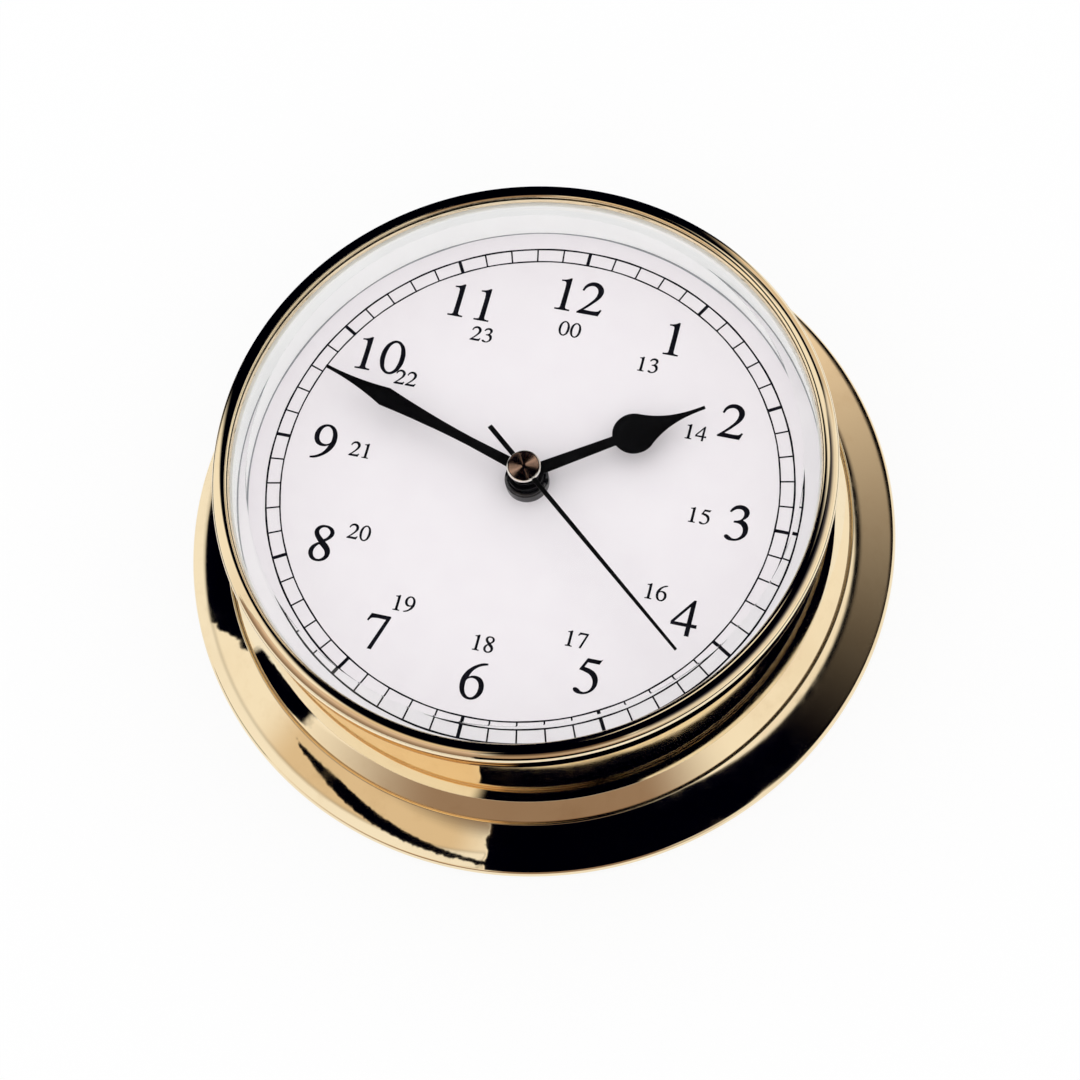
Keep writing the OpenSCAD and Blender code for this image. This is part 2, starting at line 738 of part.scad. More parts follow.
module rotor_magnet() {
    color("dimgray")
        translate([rotor_at.x, rotor_at.y, 0])
            ring(arbor_r + press_clear, magnet_d / 2, stator_z - seat_clear, stator_t + 2 * seat_clear);
}

// Stator plate with the rotor hole, its two saturation notches and two legs to the coil
module stator() {
    color(steel)
        translate([rotor_at.x, 0, stator_z])
            linear_extrude(stator_t)
                difference() {
                    union() {
                        translate([-stator_w / 2, rotor_at.y - stator_half]) square([stator_w, 2 * stator_half]);
                        for (x = [-stator_w / 2, stator_w / 2 - leg_w])
                            translate([x, rotor_at.y]) square([leg_w, coil_y + core_w / 2 - rotor_at.y]);
                    }
                    translate([0, rotor_at.y]) circle(stator_hole_r);
                    for (s = [-1, 1])
                        translate([0, rotor_at.y + s * stator_hole_r]) circle(notch_r);
                }
}

module coil_core() {
    color(steel)
        translate([rotor_at.x - stator_w / 2, coil_y - core_w / 2, core_z]) cube([stator_w, core_w, core_t]);
}

// Bobbin with two end flanges on the coil core
module coil_bobbin() {
    color("white")
        translate([rotor_at.x - coil_len / 2, coil_y, core_z + core_t / 2])
            difference() {
                rotate([0, 90, 0]) {
                    cylinder(d = bobbin_d, h = coil_len);
                    cylinder(d = coil_d, h = bobbin_flange_t);
                    translate([0, 0, coil_len - bobbin_flange_t]) cylinder(d = coil_d, h = bobbin_flange_t);
                }
                translate([-bite, -core_w / 2 - seat_clear, -core_t / 2 - seat_clear])
                    cube([coil_len + 2 * bite, core_w + 2 * seat_clear, core_t + 2 * seat_clear]);
            }
}

module coil_winding() {
    span = coil_len - 2 * bobbin_flange_t - 2 * press_clear;
    color("peru")
        translate([rotor_at.x - span / 2, coil_y, core_z + core_t / 2])
            rotate([0, 90, 0])
                ring(bobbin_d / 2 + press_clear, coil_d / 2 - seat_clear, 0, span);
}

module intermediate_wheel() {
    color(wheel_white)
        translate([inter_at.x, inter_at.y, 0]) {
            gear(inter_teeth, motor_mod, inter_turn, inter_z, wheel_t);
            gear(inter_pinion_teeth, second_mod, inter_turn, inter_z, second_z + wheel_t - inter_z);
            bar([0, 0], arbor_r, rear_pivot(), bridge_z + bridge_t);
        }
}

module second_wheel() {
    color(wheel_white) {
        gear(second_teeth, second_mod, 0, second_z, wheel_t);
        gear(second_pinion_teeth, third_mod, 0, third_z, wheel_t);
        bar([0, 0], second_arbor_r, rear_pivot(), second_arbor_top);
    }
}

module third_wheel() {
    color(wheel_white)
        translate([third_at.x, third_at.y, 0]) {
            gear(third_teeth, third_mod, third_turn, third_z, wheel_t);
            gear(third_pinion_teeth, centre_mod, third_turn, third_z, centre_z + wheel_t - third_z);
            bar([0, 0], arbor_r, bridge_z, boss_z + pivot_in);
        }
}

// Centre wheel, held on the minute arbor by friction
module centre_wheel() {
    color(wheel_white)
        difference() {
            gear(centre_teeth, centre_mod, centre_turn, centre_z, wheel_t);
            bar([0, 0], minute_tube_r + shaft_clear, centre_z - bite, centre_z + wheel_t + bite);
        }
}

// Minute arbor: collar under the centre wheel, cannon pinion and tube to the minute hand
module minute_arbor() {
    collar_t = stack_clear;
    collar_r = minute_tube_r + 0.8;
    color(wheel_white)
        difference() {
            union() {
                bar([0, 0], minute_tube_r, centre_z - collar_t - seat_clear, minute_tube_top);
                bar([0, 0], collar_r, centre_z - collar_t - seat_clear, centre_z - seat_clear);
                gear(cannon_teeth, setting_mod, 0, cannon_z, wheel_t);
            }
            bar([0, 0], second_arbor_r + shaft_clear, centre_z - bite, minute_tube_top + bite);
        }
}

module motion_wheel() {
    color(wheel_white)
        translate([motion_at.x, motion_at.y, 0])
            difference() {
                union() {
                    gear(motion_teeth, setting_mod, motion_turn, cannon_z, wheel_t);
                    gear(motion_pinion_teeth, hour_mod, motion_turn, cannon_z, hour_z + wheel_t - cannon_z);
                }
                bar([0, 0], arbor_r + shaft_clear, cannon_z - bite, hour_top + bite);
            }
}

module hour_wheel() {
    color(wheel_white)
        difference() {
            union() {
                gear(hour_teeth, hour_mod, hour_turn, hour_z, wheel_t);
                bar([0, 0], hour_tube_r, hour_z, hour_tube_top);
            }
            bar([0, 0], minute_tube_r + shaft_clear, hour_z - bite, hour_tube_top + bite);
        }
}

// Setting knob with finger flutes behind the housing, and its pinion in the train
module setting_knob() {
    flutes = 16;
    flute_r = 0.5;
    color(black)
        translate([setting_at.x, setting_at.y, 0]) {
            difference() {
                bar([0, 0], knob_d / 2, move_back - seat_clear - knob_h, move_back - seat_clear);
                for (k = [0:flutes - 1])
                    bar(polar(knob_d / 2, k * 360 / flutes), flute_r, move_back - knob_h - bite, move_back + bite);
            }
            bar([0, 0], 2 * arbor_r, move_back - seat_clear - knob_h / 2, cannon_z + wheel_t / 2);
            gear(setting_teeth, setting_mod, setting_turn, cannon_z, wheel_t);
            bar([0, 0], arbor_r, cannon_z, boss_z + pivot_in);
        }
}

module circuit_board() {
    color("seagreen") translate([board_at.x, board_at.y, board_z]) cube([board_w, board_l, board_t]);
}

// Low dome of resin over the chip
module control_chip() {
    dome_r = 2.4;
    dome_h = 0.9;
    ball_r = (dome_r * dome_r + dome_h * dome_h) / (2 * dome_h);
    color(black)
        translate([board_at.x + board_w * 0.34, board_at.y + board_l * 0.4, board_z + board_t])
            turned()
                intersection() {
                    translate([0, dome_h - ball_r]) circle(ball_r);
                    square([dome_r, dome_h]);
                }
}

module quartz_crystal() {
    color(steel)
        translate([board_at.x + board_w * 0.55, board_at.y + board_l * 0.78, board_z + board_t + quartz_d / 2])
            rotate([0, 90, 0]) cylinder(d = quartz_d, h = quartz_l);
}

module battery() {
    color("darkslategray")
        translate([cell_minus_x, cell_y, cell_z])
            rotate([0, 90, 0]) {
                cylinder(d = cell_d, h = cell_l);
                cylinder(d = nub_d, h = cell_l + nub_l);
            }
}

// Flat contact at the nub of the cell
module plus_contact() {
    contact_w = 9;
    color(steel)
        translate([bay_half - contact_t, cell_y - contact_w / 2, cell_z - contact_w / 2])
            cube([contact_t, contact_w, contact_w]);
}

// Sprung contact: a plate with a bowed tongue that presses on the foot of the cell
module minus_contact() {
    contact_w = 9;
    tongue = 3;
    color(steel)
        translate([-bay_half, cell_y + contact_w / 2, cell_z - contact_w / 2])
            rotate([90, 0, 0])
                linear_extrude(contact_w)
                    difference() {
                        polygon([[0, 0], [contact_t, 0], [contact_t + spring_h, contact_w / 2 - tongue / 2],
                            [contact_t + spring_h, contact_w / 2 + tongue / 2], [contact_t, contact_w], [0, contact_w]]);
                        polygon([[contact_t, 2 * contact_t], [spring_h, contact_w / 2 - tongue / 2 + contact_t],
                            [spring_h, contact_w / 2 + tongue / 2 - contact_t], [contact_t, contact_w - 2 * contact_t]]);
                    }
}

case();
mounting_ring();
bezel();
glass();
gasket();
spacer_ring();
dial();
dial_washer();
stem_nut();
hour_hand();
hour_bush();
minute_hand();
minute_bush();
second_hand();
second_bush();
second_cap();
front_shell();
rear_shell();
train_bridge();
rotor_pinion();
rotor_magnet();
stator();
coil_core();
coil_bobbin();
coil_winding();
intermediate_wheel();
second_wheel();
third_wheel();
centre_wheel();
minute_arbor();
motion_wheel();
hour_wheel();
setting_knob();
circuit_board();
control_chip();
quartz_crystal();
battery();
plus_contact();
minus_contact();
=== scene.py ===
"""A brass marine clock: its looks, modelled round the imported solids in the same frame."""
import math

import bpy
from mathutils import Matrix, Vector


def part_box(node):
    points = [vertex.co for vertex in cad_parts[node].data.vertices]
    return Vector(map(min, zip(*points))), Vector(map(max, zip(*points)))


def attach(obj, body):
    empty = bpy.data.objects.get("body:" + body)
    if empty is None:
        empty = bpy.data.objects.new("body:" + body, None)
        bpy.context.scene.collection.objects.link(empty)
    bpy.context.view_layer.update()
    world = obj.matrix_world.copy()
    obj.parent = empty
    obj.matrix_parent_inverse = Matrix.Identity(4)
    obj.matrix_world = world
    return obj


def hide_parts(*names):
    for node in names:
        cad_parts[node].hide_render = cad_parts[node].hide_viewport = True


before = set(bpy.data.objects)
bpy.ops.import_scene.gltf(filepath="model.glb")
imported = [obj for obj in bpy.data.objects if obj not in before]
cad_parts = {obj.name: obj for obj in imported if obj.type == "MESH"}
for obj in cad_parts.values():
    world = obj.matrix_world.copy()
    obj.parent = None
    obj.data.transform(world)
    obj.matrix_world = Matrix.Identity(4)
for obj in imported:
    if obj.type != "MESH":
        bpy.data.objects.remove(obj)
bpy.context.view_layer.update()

# Units and small steps
MM = 0.001
MERGE = 2e-6
SMOOTH_ANGLE = math.radians(32)
FULL_TURN = 2 * math.pi
DEGREES = 180 / math.pi
PER_MM = 1 / MM
WHITE = (1.0, 1.0, 1.0)


def top_of(node):
    """Highest level of a solid in millimetres."""
    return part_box(node)[1].z / MM


def foot_of(node):
    """Lowest level of a solid in millimetres."""
    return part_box(node)[0].z / MM


def radius_of(node):
    """Largest radius of a turned solid in millimetres."""
    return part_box(node)[1].x / MM


# Case sizes in millimetres
BASE_R = radius_of("case")
WALL_R = 63.2
BORE_R = 60.6
SEAT_R = 57.0
SEAT_T = 3.0
SEAT_W = BORE_R - SEAT_R
NECK_R = BORE_R + 1.0
NECK_TOP = top_of("case")
NECK_H = 3.5
COLLAR_Z = NECK_TOP - NECK_H
MOUNT_T = 2.5
RIM_ROUND = 1.2
FLARE_TOP = 7.7
BEAD_R = 1.1
COVE_R = 2.4
COVE_HEAD = 10.6
COVE_FOOT_R = 66.5
COVE_FOOT = 7.32
COVE_SAG = 0.06
SHOULDER_R = 0.35
RIM_LAND = 2.8
RIM_LAND_T = 0.56
FLARE_T = 2.6
FLARE_FILL = 0.2
THREAD_PITCH = 1.0
THREAD_DEPTH = 0.3
THREAD_START = 0.3
THREAD_END = 0.2

# Tarnished bands in millimetres: from, to and softness
SEAM_Z = (34.3, 34.95, 0.2)
CREASE_Z = (7.2, 7.55, 0.15)
CREASE_R = (66.4, 66.75, 0.15)

# Bezel and glass sizes in millimetres
BEZEL_R = radius_of("bezel")
BEZEL_FOOT = foot_of("bezel")
CROWN_TOP = top_of("bezel")
CROWN_H = 1.9
CROWN_R = 60.7
SKIRT_IN_R = NECK_R + 0.05
SKIRT_R = SKIRT_IN_R + 0.95
LIP_R = 59.9
LIP_ROUND = 1.9
LIP_FOOT = CROWN_TOP - 2.15
GLASS_R = radius_of("glass")
GLASS_TOP = top_of("glass")
GLASS_FOOT = foot_of("glass")
GLASS_BEVEL_W = 4.0
GLASS_BEVEL_DROP = 1.15
GLASS_IOR = 1.52

# Dial sizes in millimetres
DIAL_TOP = top_of("dial")
DIAL_FOOT = foot_of("dial")
DIAL_HOLE_R = 3.6
INK_T = 0.02
TRACK_IN_R = 51.73
TRACK_OUT_R = 54.69
TRACK_LINE = 0.36
TICK_W = 0.34
HOUR_TICK_W = 0.72
HOUR_FIGURE_R = 44.2
HOUR_FIGURE_H = 7.8
DAY_FIGURE_R = 36.1
DAY_FIGURE_H = 3.35
FIGURE_CELL = 5.8
INK_SPREAD = 0.06

# Hub, spacer and cell sizes in millimetres
CAP_R = 3.5
CAP_ROUND = 0.3
CAP_LAND = 0.1
CAP_RINGS = 14
CAP_RING_W = 0.2
CAP_RING_DROP = 0.02
SPACER_FOOT = 1.7
SPACER_HEAD = 1.1
CELL_NUB_L = 1.4
CELL_NUB_R = 2.7
CELL_FOIL = 0.12
CELL_TURN_IN = 1.9
CELL_ROUND = 0.8
CELL_FOLD = 1.2
CELL_BAND_X = 10.0
CELL_RING_X = (8.2, 9.2)
NUT_EDGE_R = 4.25

# Photograph's camera: place in metres, lens and sensor in millimetres
CAMERA_LENS = 76.48
SENSOR_W = 36
CLIP_START = 0.01
CAMERA_PLACE = (0.089096, -0.175561, 0.457285)
CAMERA_RIGHT = (0.9649, 0.24522, -0.09397)
CAMERA_UP = (-0.19259, 0.90405, 0.38158)
CAMERA_BACK = (0.17853, -0.35009, 0.91954)

# Stage: floor in metres, share of it that glows for the lens, extra soft light, and colours of painted
# reflections in polished faces
FLOOR_W = 12
FLOOR_GLOW = 0.85
SOFT_EXTRA = 0.2
CREAM = (1.0, 0.96, 0.9)
TAN = (0.78, 0.63, 0.46)
LEFT_TAN = (0.95, 0.8, 0.63)
RIGHT_TAN = (0.78, 0.64, 0.5)
DUSK = (0.335, 0.235, 0.175)
BLACK = (0.0, 0.0, 0.002)
STRIP_BROWN = (1.0, 0.85, 0.7)
PALE_EDGE = (1.0, 0.98, 0.95)
HIGH_LEFT = (0.45, 0.33, 0.24)
HIGH_PALE = (0.92, 0.86, 0.8)
HIGH_DARK = (0.04, 0.04, 0.06)
SIDE_DARK = (0.28, 0.2, 0.15)
SIDE_PALE = (0.8, 0.62, 0.52)

# Painted dark reflection of the floor that polished faces show: radius in millimetres of the bow where it
# ends, by degrees from +X
BOW_START = -54.0
BOW_R = 91.0
BOW_RISE = 0.22
BOW_BEND = 0.0027

# Glowing ring of card that paints reflections, in millimetres and degrees from +X; a sloping edge is degrees,
# height there, rise per degree
CARD_R = 110
CARD_H = 130
CARD_LIFT = 0.3
CARD_TEAR = 7.0
CARD_RAG = 1.8
WIND_BACK = 150.0
FRONT_EDGE = (-88.5, -88.0)
LEFT_END = -150.0
STRIP_END = 63.0
STRIP_HEAD = (-35.0, 41.0, -0.284)
STRIP_FOOT = (-36.0, 30.0, -0.258)
STRIP_FOOT_TOP = 29.5
PATCH_HEAD = 27.0
PATCH_FOOT = (-159.0, 14.3, 0.25)
PATCH_SIDE_Z = 23.0
PATCH_SIDE_TURN = -152.0
PATCH_SLANT = 0.8
BAR_LEFT = -131.0
BAR_RIGHT = -84.0
BAR_FOOT = 28.0
BAR_FOOT_RISE = 2.2
BAR_HEAD = (BAR_LEFT, 28.7, 0.25)
BAR_HEAD_TOP = 31.4
DEEP_FOOT = 9.3
DIP_START = -58.0
DIP_RISE = 0.09
DIP_DROP = 1.5
SILL_H = 1.75
HIGH_END = 40.0
HIGH_HEAD = 78.0
HIGH_HEAD_RISE = 40.0
PALE_HEAD = (-148.5, 17.5, 0.272)
FADE_START = -24.0
FADE_SPAN = 86


# Shader expressions
class Socket:
    """A socket in a node tree: arithmetic adds Math nodes, and node() adds any other node."""

    def __init__(self, tree, socket=None):
        self.tree = tree
        self.socket = socket

    def node(self, kind, settings=None, inputs=None, output=0):
        """Add a node, set its settings, then the values or links of its sockets."""
        made = self.tree.nodes.new(kind)
        for key, setting in (settings or {}).items():
            setattr(made, key, setting)
        for key, value in (inputs or {}).items():
            if isinstance(value, Socket):
                self.tree.links.new(value.socket, made.inputs[key])
            elif hasattr(value, "__len__") and len(value) == 3 and made.inputs[key].type == "RGBA":
                made.inputs[key].default_value = (*value, 1.0)
            else:
                made.inputs[key].default_value = value
        return Socket(self.tree, made.outputs[output] if made.outputs else None)

    def math(self, operation, *values):
        return self.node("ShaderNodeMath", {"operation": operation}, dict(enumerate(values)))

    def __add__(self, other):
        return self.math("ADD", self, other)

    def __sub__(self, other):
        return self.math("SUBTRACT", self, other)

    def __rsub__(self, other):
        return self.math("SUBTRACT", other, self)

    def __mul__(self, other):
        return self.math("MULTIPLY", self, other)

    def __pow__(self, other):
        return self.math("POWER", self, other)

    __radd__ = __add__
    __rmul__ = __mul__

    def highest(self, *others):
        """The largest of this and other values."""
        top = self
        for other in others:
            top = self.math("MAXIMUM", top, other)
        return top

    def lowest(self, other):
        return self.math("MINIMUM", self, other)

    def line(self, start, level, rise):
        """A straight line: a level at a start, and its rise for each unit past it."""
        return (self - start) * rise + level

    def step(self, low, high):
        """Rise smoothly from 0 at low to 1 at high."""
        settings = {"interpolation_type": "SMOOTHSTEP"}
        return self.node("ShaderNodeMapRange", settings, {"Value": self, "From Min": low, "From Max": high})

    def band(self, low, high, soft):
        """One between low and high, with soft edges."""
        return self.step(low - soft, low + soft) * (1 - self.step(high - soft, high + soft))

    def below(self, edge, soft):
        """One under an edge, with a soft step."""
        return 1 - self.step(edge - soft, edge + soft)

    def mix(self, first, second):
        """A colour between two colours, by this factor."""
        settings = {"data_type": "RGBA"}
        return self.node("ShaderNodeMix", settings, {0: self, 6: first, 7: second}, 2)

    def blend(self, first, second):
        """A shader between two shaders, by this factor."""
        return self.node("ShaderNodeMixShader", inputs={0: self, 1: first, 2: second})

    def parts(self):
        """The three numbers of a vector."""
        split = self.node("ShaderNodeSeparateXYZ", inputs={0: self}).socket.node
        return [Socket(self.tree, socket) for socket in split.outputs]

    def vector(self, x, y, z):
        return self.node("ShaderNodeCombineXYZ", inputs={0: x, 1: y, 2: z})

    def noise(self, scale, detail=2.0, roughness=0.5):
        """Smooth noise on this vector, about 0.5."""
        inputs = {"Vector": self, "Scale": scale, "Detail": detail, "Roughness": roughness}
        return self.node("ShaderNodeTexNoise", inputs=inputs)

    def bump(self, distance, strength=1.0):
        """A normal raised by this height times a distance in metres."""
        inputs = {"Height": self, "Distance": distance, "Strength": strength}
        return self.node("ShaderNodeBump", inputs=inputs)


def new_material(name):
    """A material with no nodes yet, and a start for its expressions."""
    material = bpy.data.materials.new(name)
    material.use_nodes = True
    material.node_tree.nodes.clear()
    return material, Socket(material.node_tree)


def close_material(start, shader):
    start.node("ShaderNodeOutputMaterial", inputs={"Surface": shader})


def close_finish(start, **inputs):
    """Close a material with one shader, from its sockets' names with low lines for spaces."""
    inputs = {key.replace("_", " "): value for key, value in inputs.items()}
    close_material(start, start.node("ShaderNodeBsdfPrincipled", inputs=inputs))


def glow(start, colour):
    return start.node("ShaderNodeEmission", inputs={"Color": colour, "Strength": 1.0})


def clear(start):
    return start.node("ShaderNodeBsdfTransparent", inputs={"Color": WHITE})


def light_path(start, ray):
    return start.node("ShaderNodeLightPath", output=ray)


def mirrored(start):
    """One for a ray that a polished face has thrown back."""
    return light_path(start, "Is Glossy Ray") * light_path(start, "Glossy Depth").step(0.4, 0.6)


def mirrored_twice(start):
    """One for a ray that polished faces have thrown back twice or more."""
    return light_path(start, "Glossy Depth").step(1.4, 1.6)


def object_place(start):
    """Place on the piece in metres."""
    return start.node("ShaderNodeTexCoord", output="Object")


def turned_place(start):
    """A place on a turned piece, and its radius, angle and height."""
    place = object_place(start)
    x, y, height = place.parts()
    radius = (x * x + y * y) ** 0.5
    angle = start.math("ARCTAN2", y, x)
    return place, radius, angle, height


def polished_brass():
    """Mirror-polished lacquered brass, with faint turning lines, wiping marks and tarnish in the seams."""
    material, start = new_material("polished_brass")
    place, radius, angle, height = turned_place(start)
    ripple = start.vector(radius, height, angle * 0.0022).noise(900.0, 3.0, 0.55)
    scratch = start.vector(radius, height, angle * 0.004).noise(5200.0, 2.0, 0.6).step(0.66, 0.78)
    cloud = place.noise(42.0, 3.0)
    wipe = place.noise(160.0, 4.0, 0.6)
    level = height * PER_MM
    seam = level.band(*SEAM_Z)
    crease = level.band(*CREASE_Z) * (radius * PER_MM).band(*CREASE_R)
    worn = cloud.step(0.45, 0.75) * 0.16 + wipe.step(0.5, 0.75) * 0.1
    tarnish = seam.highest(crease) * 0.65 + worn
    colour = tarnish.mix((0.91, 0.77, 0.53), (0.58, 0.36, 0.16))
    rough = 0.028 + wipe.step(0.45, 0.8) * 0.03 + scratch * 0.05 + worn * 0.12
    close_finish(start, Base_Color=colour, Metallic=1.0, Roughness=rough, Normal=ripple.bump(0.0000011),
                 Coat_Weight=0.08, Coat_Roughness=0.03)
    return material


def clear_glass():
    """Plate glass: clear and thin in its flat middle, thick in the bevel, open to the soft light."""
    material, start = new_material("clear_glass")
    place, radius, _, height = turned_place(start)
    normal = place.noise(55.0, 2.0).bump(0.000002)
    inputs = {"Base Color": (0.985, 1.0, 0.992), "Roughness": 0.0, "Normal": normal, "IOR": GLASS_IOR,
              "Transmission Weight": 1.0}
    thick = start.node("ShaderNodeBsdfPrincipled", inputs=inputs)
    open_part = clear(start)
    shine = start.node("ShaderNodeBsdfGlossy", inputs={"Color": WHITE, "Roughness": 0.0})
    outside = 1 - start.node("ShaderNodeNewGeometry", output="Backfacing")
    share = start.node("ShaderNodeFresnel", inputs={"IOR": GLASS_IOR}) * outside
    flat = share.blend(open_part, shine)
    bevel_in = GLASS_R - GLASS_BEVEL_W
    bevelled = radius.step((bevel_in - 0.2) * MM, (bevel_in - 0.1) * MM)
    upper = height.step((GLASS_FOOT + 0.2) * MM, (GLASS_FOOT + 0.3) * MM)
    inside = light_path(start, "Transmission Depth").band(0.5, 1.5, 0.1)
    pane = (bevelled * upper).highest(inside).blend(flat, thick)
    through = light_path(start, "Is Shadow Ray").highest(light_path(start, "Is Diffuse Ray"))
    close_material(start, through.blend(pane, open_part))
    return material


def grained(name, colour, second, rough, grain, depth, metallic=0.0, gloss=0.5):
    """A finish with a fine grain: two near colours, uneven gloss and a low bump."""
    material, start = new_material(name)
    place = object_place(start)
    cloud = place.noise(grain * 0.08, 3.0)
    fine = place.noise(grain, 3.0, 0.6)
    tone = (cloud * 0.6 + fine * 0.4).step(0.3, 0.7).mix(colour, second)
    close_finish(start, Base_Color=tone, Metallic=metallic, Roughness=rough * 0.75 + rough * 0.5 * fine,
                 Normal=fine.bump(depth), Specular_IOR_Level=gloss)
    return material


def tool_rings(start, radius, height, pitch):
    """Uneven rings that a tool leaves on a turned face, by their pitch in millimetres."""
    return start.vector(radius, height, 0.0).noise(1.0 / (pitch * MM), 2.0, 0.6)


def turned_finish(name, colour, second, rough, pitch, depth, metallic=1.0):
    """A turned finish: rings of the tool about the clock's axis, with uneven gloss."""
    material, start = new_material(name)
    _, radius, _, height = turned_place(start)
    rings = tool_rings(start, radius, height, pitch)
    close_finish(start, Base_Color=rings.mix(colour, second), Metallic=metallic,
                 Roughness=rough * 0.6 + rough * 0.8 * rings, Normal=rings.bump(depth))
    return material


# Modelling helpers
def deselect():
    bpy.ops.object.select_all(action="DESELECT")


def make_active(piece):
    deselect()
    piece.select_set(True)
    bpy.context.view_layer.objects.active = piece


def weld():
    """Merge what touches in the piece that is in edit mode."""
    bpy.ops.mesh.select_all(action="SELECT")
    bpy.ops.mesh.remove_doubles(threshold=MERGE)


def oval(centre, width, height, start, end, steps):
    """Points on an oval of an outline, with angles in degrees from the outward direction."""
    turns = [math.radians(start + (end - start) * i / steps) for i in range(steps + 1)]
    return [(centre[0] + width * math.cos(t), centre[1] + height * math.sin(t)) for t in turns]


def arc(centre, radius, start, end, steps):
    return oval(centre, radius, radius, start, end, steps)


def lathe(name, outline, steps=256):
    """Turn an outline of (radius, height) points in millimetres about the clock's axis."""
    deselect()
    bpy.ops.mesh.primitive_plane_add(size=MM)
    piece = bpy.context.object
    piece.name = name
    bpy.ops.object.mode_set(mode="EDIT")
    bpy.ops.mesh.select_all(action="SELECT")
    bpy.ops.mesh.merge(type="CENTER")
    bpy.ops.transform.translate(value=(outline[0][0] * MM, 0, outline[0][1] * MM))
    on_axis = outline[0][0] == 0 and outline[-1][0] == 0
    rest = outline[1:] if on_axis else outline[1:] + outline[:1]
    for (r0, z0), (r1, z1) in zip(outline, rest):
        step = ((r1 - r0) * MM, 0, (z1 - z0) * MM)
        bpy.ops.mesh.extrude_region_move(TRANSFORM_OT_translate={"value": step})
    weld()
    bpy.ops.mesh.spin(steps=steps, angle=FULL_TURN, center=(0, 0, 0), axis=(0, 0, 1))
    weld()
    bpy.ops.mesh.normals_make_consistent(inside=False)
    bpy.ops.object.mode_set(mode="OBJECT")
    return piece


def bevel(piece, width, segments=2, angle=35):
    """Round the sharp edges of a piece by a width in millimetres."""
    make_active(piece)
    edge = piece.modifiers.new("edge", "BEVEL")
    edge.width = width * MM
    edge.segments = segments
    edge.limit_method = "ANGLE"
    edge.angle_limit = math.radians(angle)
    bpy.ops.object.modifier_apply(modifier=edge.name)


def smooth(piece, angle=SMOOTH_ANGLE):
    """Shade a piece smooth, with normals that follow its larger faces."""
    make_active(piece)
    bpy.ops.object.shade_smooth_by_angle(angle=angle)
    weighted = piece.modifiers.new("weighted", "WEIGHTED_NORMAL")
    weighted.keep_sharp = True
    bpy.ops.object.modifier_apply(modifier=weighted.name)


def dress(piece, material, body, slot, *nodes):
    """Give a piece its finish, the body that carries it and the solids that it stands for."""
    piece.data.materials.clear()
    piece.data.materials.append(material)
    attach(piece, body)
    if nodes:
        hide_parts(*nodes)


def copy_of(node, name, edge, segments=2, angle=35):
    """A copy of a solid's mesh with merged corners, flat faces made whole and rounded edges."""
    piece = bpy.data.objects.new(name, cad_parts[node].data.copy())
    bpy.context.scene.collection.objects.link(piece)
    make_active(piece)
    bpy.ops.object.mode_set(mode="EDIT")
    weld()
    bpy.ops.mesh.dissolve_limited(angle_limit=math.radians(1))
    bpy.ops.object.mode_set(mode="OBJECT")
    bevel(piece, edge, segments, angle)
    smooth(piece)
    return piece


# Case, bezel and glass
def hollow(start, end, sag, steps):
    """Points of a slightly hollow slope, outwards and down from start to end."""
    length = math.dist(start, end)
    inward = ((end[1] - start[1]) / length, (start[0] - end[0]) / length)
    points = []
    for i in range(steps + 1):
        share = i / steps
        depth = 4 * sag * share * (1 - share)
        points.append((start[0] + (end[0] - start[0]) * share + inward[0] * depth,
                       start[1] + (end[1] - start[1]) * share + inward[1] * depth))
    return points


def thread(radius, low, high, depth):
    """Rings of a fine thread on an upright face, from low to high."""
    count = int((high - low) / THREAD_PITCH)
    points = []
    for i in range(count):
        z = low + i * THREAD_PITCH
        points += [(radius, z), (radius, z + 0.15 * THREAD_PITCH)]
        points += [(radius + depth, z + 0.5 * THREAD_PITCH), (radius, z + 0.85 * THREAD_PITCH)]
    return points


def case_outline():
    """Section of the case: neck, wall, cove, bead, flare, rim, hollow back and bore."""
    rim = (BASE_R - RIM_ROUND, RIM_ROUND)
    bead = (WALL_R + COVE_R + BEAD_R, FLARE_TOP - BEAD_R)
    reach = math.dist(rim, bead)
    line = math.degrees(math.atan2(bead[1] - rim[1], bead[0] - rim[0]))
    slope = line - 90 - math.degrees(math.asin((BEAD_R - RIM_ROUND) / reach))
    across = (BEAD_R - SHOULDER_R) * math.cos(math.radians(slope))
    up = (BEAD_R - SHOULDER_R) * math.sin(math.radians(slope))
    shoulder = (bead[0] + across, bead[1] + up)
    shoulder_start = 180 - math.degrees(math.asin((COVE_FOOT - shoulder[1]) / SHOULDER_R))
    back_in = (bead[0], FLARE_TOP - BEAD_R / 2 - FLARE_T + FLARE_FILL)
    back_out = (BASE_R - RIM_LAND, RIM_LAND_T)
    neck = thread(NECK_R, COLLAR_Z + THREAD_START, NECK_TOP - THREAD_END, -THREAD_DEPTH)
    outline = [(NECK_R, COLLAR_Z), (WALL_R, COLLAR_Z)]
    outline += hollow((WALL_R, COVE_HEAD), (COVE_FOOT_R, COVE_FOOT), COVE_SAG, 8)
    outline += arc(shoulder, SHOULDER_R, shoulder_start, slope, 14)
    outline += arc(rim, RIM_ROUND, slope, -90, 16)
    outline += [(back_out[0], 0), back_out, back_in, (WALL_R, back_in[1]), (WALL_R, 0)]
    outline += [(NECK_R, 0), (NECK_R, MOUNT_T), (BORE_R, MOUNT_T)]
    outline += [(BORE_R, DIAL_FOOT - SEAT_T - SEAT_W), (SEAT_R, DIAL_FOOT - SEAT_T)]
    outline += [(SEAT_R, DIAL_FOOT), (BORE_R, DIAL_FOOT), (BORE_R, NECK_TOP), (NECK_R, NECK_TOP)]
    return outline + neck[::-1]


